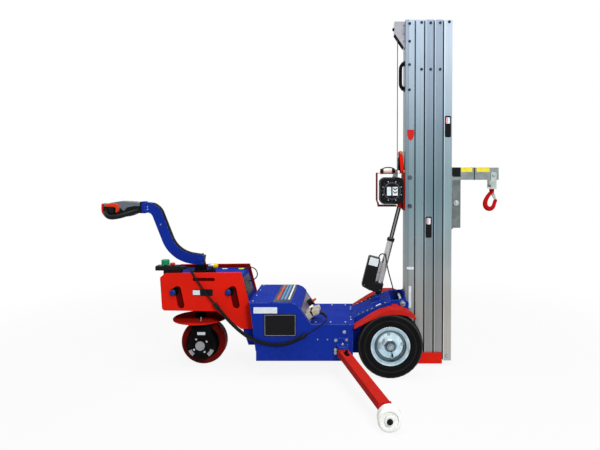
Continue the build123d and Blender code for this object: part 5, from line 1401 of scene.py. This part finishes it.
# %% Winch cover
RIB_TURNS = 45 * np.arange(8)
RIB = slab(0.016, 0.004, 0.001, -0.0005, 0.005, 3)
LIP_UP = np.array([0.0, 0.0, 0.052])
COVER_LIP = turned([
    (0.0485, -0.001), (0.0555, -0.001), (0.0555, 0.004), (0.0535, 0.0062), (0.0505, 0.0062), (0.0485, 0.004),
], 48, True)
CHEVRON = prism([
    (-0.013, 0.008), (0, -0.002), (0.013, 0.008), (0.013, 0.0), (0, -0.010), (-0.013, 0.0),
], 0, 0.0004)
CHEVRONS = [(0.0445, 0, 1.1495), (0.0445, 0, 1.1275)]
cover_screws = around(WINCH, 0.063, 22.5 + RIB_TURNS)
fasten("winch_cover_screws", dome_screw(0.0048, 0.004), "winch_housing", cover_screws, NEAR, BRIGHT)
rib_seats = seat("winch_housing", around(WINCH, 0.0655, RIB_TURNS), NEAR)
rib_runs = around((0, 0, 0), 1.0, RIB_TURNS)
ribs = together(*(put(RIB, place, NEAR, run) for place, run in zip(rib_seats, rib_runs)))
piece("winch_cover_ribs", ribs, GRILLE_GREY, "mast", 0.0008)
plate("winch_plate_narrow", "winch_housing", (0.0055, 0, 1.1335), (0.055, 0.027), PAPER_WHITE, NEAR, UP,
      radius=0.001)
plate("winch_plate_wide", "winch_housing", (0.0445, 0, 1.1335), (0.055, 0.033), PAPER_WHITE, NEAR, UP,
      radius=0.001)
chevron_seats = seat("winch_housing", CHEVRONS, NEAR) + 0.0008 * np.array(NEAR)
piece("winch_arrows", put(CHEVRON, chevron_seats, NEAR), PANEL_BLACK, "mast")
# The lip is a raised ring, and its lighter grey is a painted highlight.
lip_seat = seat("winch_housing", [WINCH + LIP_UP], NEAR) - LIP_UP
piece("winch_cover_lip", put(COVER_LIP, lip_seat, NEAR), CAST_HIGHLIGHT, "mast")

# %% Highlight bead of the winch and painted shade of its frame
HOUSING_FACE, BEAD_LOW, BEAD_TOP, BEAD_BEND = -0.0918, 1.055, 1.217, 0.029
FRAME_SHADE_OUTLINE = [
    (-0.075, 1.252), (-0.0655, 1.252), (-0.0655, 1.070), (-0.0565, 1.055), (-0.0565, 1.0415),
    (0.058, 1.0415), (0.058, 1.0325), (-0.066, 1.0325), (-0.066, 1.052), (-0.075, 1.067),
]
quarter = np.linspace(0, np.pi / 2, 9)
bend_x, bend_rise = -0.022 - BEAD_BEND * np.sin(quarter), BEAD_BEND * (1 - np.cos(quarter))
low_bend = np.stack([bend_x, BEAD_LOW + bend_rise], axis=1)
top_bend = np.stack([bend_x, BEAD_TOP - bend_rise], axis=1)[::-1]
bead = np.concatenate([[(0.030, BEAD_LOW)], low_bend, top_bend, [(0.044, BEAD_TOP)]])
# The bead along the housing's left edge is a painted highlight.
bead_skin = swept(upright(bead, HOUSING_FACE), ring_of(0.0017, 8), NEAR)
piece("winch_housing_bead", bead_skin, CAST_HIGHLIGHT, "mast")
# A dark red outline in front of the frame's bars paints the shade on their sides.
frame_shade = put(prism(FRAME_SHADE_OUTLINE, -0.001, 0.0075), from_axle((0.0, -0.058, 0.0)), NEAR)
piece("winch_frame_shade", frame_shade, FRAME_SHADE_RED, "mast", 0.0015)

# %% Wound rope and crank grip
TURNS, TURN_STEPS, WOUND_R, WOUND_PITCH = 10, 40, 0.0418, 0.0062
GRIP_Y, GRIP_Z = 0.097, 1.259
GRIP_SLEEVE = turned([
    (0.0162, -0.002), (0.0172, 0.002), (0.0182, 0.016), (0.0172, 0.034), (0.0182, 0.052), (0.0172, 0.066),
    (0.0162, 0.07),
], 24)
GRIP_END = turned([
    (0, -0.003), (0.016, -0.003), (0.0186, 0.001), (0.0186, 0.016), (0.015, 0.021), (0, 0.022),
], 24)
wind = np.linspace(0, 2 * np.pi * TURNS, TURNS * TURN_STEPS)
wound_y = -0.0175 + WOUND_PITCH * wind / (2 * np.pi)
wound = np.stack([WOUND_R * np.cos(wind), wound_y, WOUND_R * np.sin(wind)], axis=1)
piece("wound_rope", swept(from_axle(WINCH) + wound, ring_of(0.0029, 8)), ROPE_STEEL, "drum")
sleeve_start, front_cap, rear_cap = from_axle([(x, GRIP_Y, GRIP_Z) for x in (0.046, 0.040, -0.018)])
piece("grip_sleeve", put(GRIP_SLEEVE, sleeve_start, BACKWARD, UP), GRIP_CREAM, "drum")
caps = together(put(GRIP_END, front_cap, FORWARD, UP), put(GRIP_END, rear_cap, BACKWARD, UP))
piece("grip_caps", caps, BLACK_PLASTIC, "drum")
bow = np.linspace(0, np.pi, 25)
bail = np.stack([0.016 - 0.046 * np.cos(bow), GRIP_Z + 0.006 + 0.021 * np.sin(bow)], axis=1)
piece("grip_bail", swept(upright(bail, GRIP_Y), ring_of(0.0036, 10)), BLACK_STEEL, "drum")

# %% [markdown]
# ## Mast head, boom and handle
# Small parts finish the upper end: black plates beside the rope's guide, which paint the shade of its
# flanges, black strips under its cover, which paint the shade on its sloping underside, a bumper, the
# boom's plastic collar, the dark band where its inner tube slides in, and the grip on the carry handle.

# %% Mast head, boom and handle trim
GUIDE_SHADE_OUTLINE = [(0.090, 1.262), (0.090, 1.372), (0.081, 1.372), (0.0735, 1.345), (0.0735, 1.268)]
UNDERSIDE_OUT, UNDERSIDE_ALONG = unit([-0.092, 0.0, -0.062]), unit([0.062, 0.0, -0.092])
BUMPER = turned([(0, 0), (0.010, 0), (0.010, 0.008), (0.008, 0.011), (0, 0.012)], 20)
HALF_BOW = np.array([(0.102, 0.018), (0.0965, 0.0255), (0.0905, 0.0345), (0.0870, 0.045), (0.0862, 0.060)])
# Black plates beside the guide paint the shade of its flanges.
guide_shade_places = from_axle([(0.0, -0.0262, 0.0), (0.0, 0.0262, 0.0)])
piece("guide_shade_plates", put(prism(GUIDE_SHADE_OUTLINE, -0.004, 0.004), guide_shade_places, NEAR), BLACK_STEEL, "guide", 0.001)
# Black strips on the head's sloping underside: painted shade.
underside_places = from_axle([(0.075, -0.0235, 2.106), (0.075, 0.0235, 2.106)])
underside_shades = put(slab(0.104, 0.023, 0.003, SUNK, 0.004), underside_places, UNDERSIDE_OUT, UNDERSIDE_ALONG)
piece("head_underside_shade", underside_shades, BLACK_STEEL, "mast", 0.001)
bumper_seat = seat("rope_head", [(0, 0.0, 2.184)], BACKWARD)
piece("head_bumper", put(BUMPER, bumper_seat, BACKWARD, UP), RUBBER, "mast")
collar = put(slab(0.0826, 0.0626, 0.004, 0.0, 0.054), from_axle((0.4213, 0, 1.255)), FORWARD, FAR)
piece("boom_collar", collar, BLACK_PLASTIC, "carriage", 0.0012)
band = put(slab(0.0812, 0.0812, 0.002, 0.0, 0.0055), from_axle((0.5615, 0, 1.245)), FORWARD, FAR)
piece("boom_band", band, BLACK_STEEL, "carriage")
handle_low, handle_high = (corner[2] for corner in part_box("carry_handle"))
low_half, top_half = HALF_BOW + (0.0, handle_low), HALF_BOW[::-1] * (1, -1) + (0.0, handle_high)
handle_line = upright(np.concatenate([low_half, top_half]))
piece("carry_handle_grip", swept(handle_line, rounded(0.023, 0.0215, 0.006, 4)), RUBBER, "mast", 0.001)

# %% [markdown]
# ## Tiller
# A rubber cover runs down the front of the tiller, over the cable inside it. The tiller's line is two
# bends between straights, so its heading is the running total of its curvature, and its points are the
# running total of its heading.

# %% Rubber cover, end cap, bolt and sleeve on the tiller
ARM_HALF_DEPTH, COVER_LIFT = 0.033, 0.0014
TILLER_START = np.array([-1.612, 1.024])
REAR_BEND, FRONT_BEND = 0.074, 0.205
TILLER_LEGS = (
    (0.040, 0.0), (REAR_BEND * math.radians(69), -1 / REAR_BEND), (0.171, 0.0),
    (FRONT_BEND * math.radians(60), 1 / FRONT_BEND), (0.078, 0.0),
)
LEG_STEPS = 40
step = np.concatenate([np.full(LEG_STEPS, length / LEG_STEPS) for length, _ in TILLER_LEGS])
turn = np.concatenate([np.full(LEG_STEPS, length * bend / LEG_STEPS) for length, bend in TILLER_LEGS])
heading = np.cumsum(turn) - turn / 2
ahead = np.stack([np.cos(heading), np.sin(heading)], axis=1)
above = np.stack([-np.sin(heading), np.cos(heading)], axis=1)
spine = TILLER_START + np.cumsum(ahead * step[:, None], axis=0)
edge = (spine + (ARM_HALF_DEPTH + COVER_LIFT) * above)[LEG_STEPS + 10:-10]
piece("tiller_cover", swept(upright(edge), rounded(0.0425, 0.0036, 0.0014, 3)), RUBBER, "tiller")
end_place = upright(spine[-1:])
arm_ahead, arm_up = (np.array([run[-1, 0], 0.0, run[-1, 1]]) for run in (ahead, above))
end_cap = put(slab(0.0445, 0.0665, 0.004, -0.0005, 0.005), end_place, arm_ahead, FAR)
piece("tiller_end_cap", end_cap, BLACK_PLASTIC, "tiller", 0.0012)
bolt_place = end_place - 0.014 * arm_ahead + ARM_HALF_DEPTH * arm_up
piece("tiller_top_bolt", put(hex_bolt(0.0085, 0.008), bolt_place, arm_up, FAR), DARK_ZINC, "tiller")
tiller_sleeve = put(slab(0.0544, 0.0772, 0.005, 0.0, 0.0215), from_axle((-1.603, 0.0, 1.024)), FORWARD, FAR)
piece("tiller_sleeve", tiller_sleeve, BLUE, "tiller", 0.001)

# %% [markdown]
# ## Tiller head
# The butterfly's wings are thumb levers, so each is an outline like a comma, carried sideways. The belly
# button is a bent pad that follows the nose, swept along an arc. A closed belly joins the two hand loops
# below the shell.

# %% Butterfly wings, belly button and belly
MM = 0.001
GRIP = from_axle((-1.790, 0.0, 1.012))
WING = MM * np.array([
    (-37, 29), (-32, 35), (-18, 39.5), (2, 41), (24, 40), (40, 33), (49, 18), (50, 0), (45, -14), (37, -19),
    (30, -16), (28, -8), (31, 3), (28, 13), (16, 18), (-4, 18.5), (-22, 18), (-34, 22),
])
HUB = turned([
    (0, -0.064), (0.017, -0.064), (0.019, -0.061), (0.019, -0.037), (0.0078, -0.037), (0.0078, 0.037),
    (0.019, 0.037), (0.019, 0.061), (0.017, 0.064), (0, 0.064),
])
PAD_ROUTE = [
    (-1.858, 1.049), (-1.860, 1.034), (-1.8605, 1.015), (-1.8590, 0.997), (-1.851, 0.981), (-1.840, 0.970),
]
STEM = turned([(0, 0.0), (0.0088, 0.0), (0.0088, 0.032), (0, 0.032)], 20)
SIDE_PLATE = [
    (-1.752, 1.030), (-1.716, 1.003), (-1.694, 1.026), (-1.640, 1.036), (-1.640, 1.041), (-1.752, 1.037),
]
BELLY = [
    (-1.822, 0.988), (-1.814, 0.975), (-1.790, 0.968), (-1.740, 0.966), (-1.700, 0.972), (-1.690, 0.980),
    (-1.760, 0.990),
]
wings = put(mirrored(WING, 0.0375, 0.0635), GRIP, NEAR)
piece("butterfly_wings", wings, ORANGE_RED, "butterfly", 0.003, stands_for="throttle")
piece("butterfly_hub", put(HUB, GRIP, NEAR), BLACK_PLASTIC, "butterfly", stands_for="throttle")
pad = swept(line_of("pad_line", upright(PAD_ROUTE), 8), rounded(0.066, 0.011, 0.005, 4))
stem = put(STEM, from_axle((-1.857, 0.0, 1.009)), FORWARD, UP)
piece("belly_pad", together(pad, stem), RED_PLASTIC, "belly_button", stands_for="safety_button")
piece("head_side_plates", put(mirrored(SIDE_PLATE, 0.0355, 0.0368), AXLE_FOOT, NEAR), HEAD_GREY, "tiller")
piece("head_belly", put(prism(BELLY, -0.030, 0.030), AXLE_FOOT, NEAR), BLACK_PLASTIC, "tiller", 0.003)

# %% [markdown]
# ## Hook
# A forged hook is thickest at its back and its saddle, where it carries the load, and thinner at the tip.
# Its skin is a ring swept along the middle line, and the ring's radius changes along it. The latch swings
# from the neck and rests on the tip.

# %% Forged hook and latch
HOOK_ROUTE = MM * np.array([
    (688, 1128), (681, 1120), (669, 1106), (654, 1084), (644, 1057), (646, 1031), (663, 1014), (685, 1014),
    (701, 1031), (706, 1054), (714, 1071), (719, 1077),
])
NECK = turned([
    (0, 1.1680), (0.0125, 1.1680), (0.0150, 1.1660), (0.0150, 1.1584), (0.0090, 1.1584), (0.0090, 1.1456),
    (0.0145, 1.1456), (0.0160, 1.1430), (0.0150, 1.1280), (0.0110, 1.1160), (0, 1.1150),
], 28)
PIN = turned([(0, -0.0145), (0.004, -0.0145), (0.004, 0.0145), (0, 0.0145)], 16)
CHEEK = MM * np.array([
    (-8, -2), (-4, 6), (5, 8), (10, 2), (15, -12), (20, -31), (12, -36), (2, -20), (-4, -10),
])
TONGUE = MM * np.array([(6, -15), (13, -12), (16.5, -27), (10, -31)])
LATCH_PIN = from_axle((0.694, 0.0, 1.112))
hook_line = line_of("hook_line", upright(HOOK_ROUTE), 14)
hook_share = np.linspace(0, 1, len(hook_line))
hook_radius = 0.0114 + 0.0046 * np.exp(-((hook_share - 0.48) / 0.24) ** 2)
hook_tip = np.clip((hook_share - 0.95) / 0.05, 0, 1)
hook_radius = hook_radius * np.sqrt(np.clip(1.02 - hook_tip ** 2, 0.02, 1))
hook = together(
    swept(hook_line, hook_radius[:, None, None] * ring_of(1.0, 20)),
    put(NECK, from_axle((0.688, 0.0, 0.0))),
    put(slab(0.013, 0.020, 0.003, -0.0090, 0.0090), from_axle((0.6945, 0.0, 1.1145)), NEAR),
    put(PIN, LATCH_PIN, NEAR),
)
piece("forged_hook", hook, HOOK_RED, "hook", stands_for="hook")
latch = together(mirrored(CHEEK, 0.0096, 0.0135), prism(TONGUE, -0.0134, 0.0134))
piece("sprung_latch", put(latch, LATCH_PIN, NEAR), LINK_STEEL, "latch", 0.0006, stands_for="hook_latch")
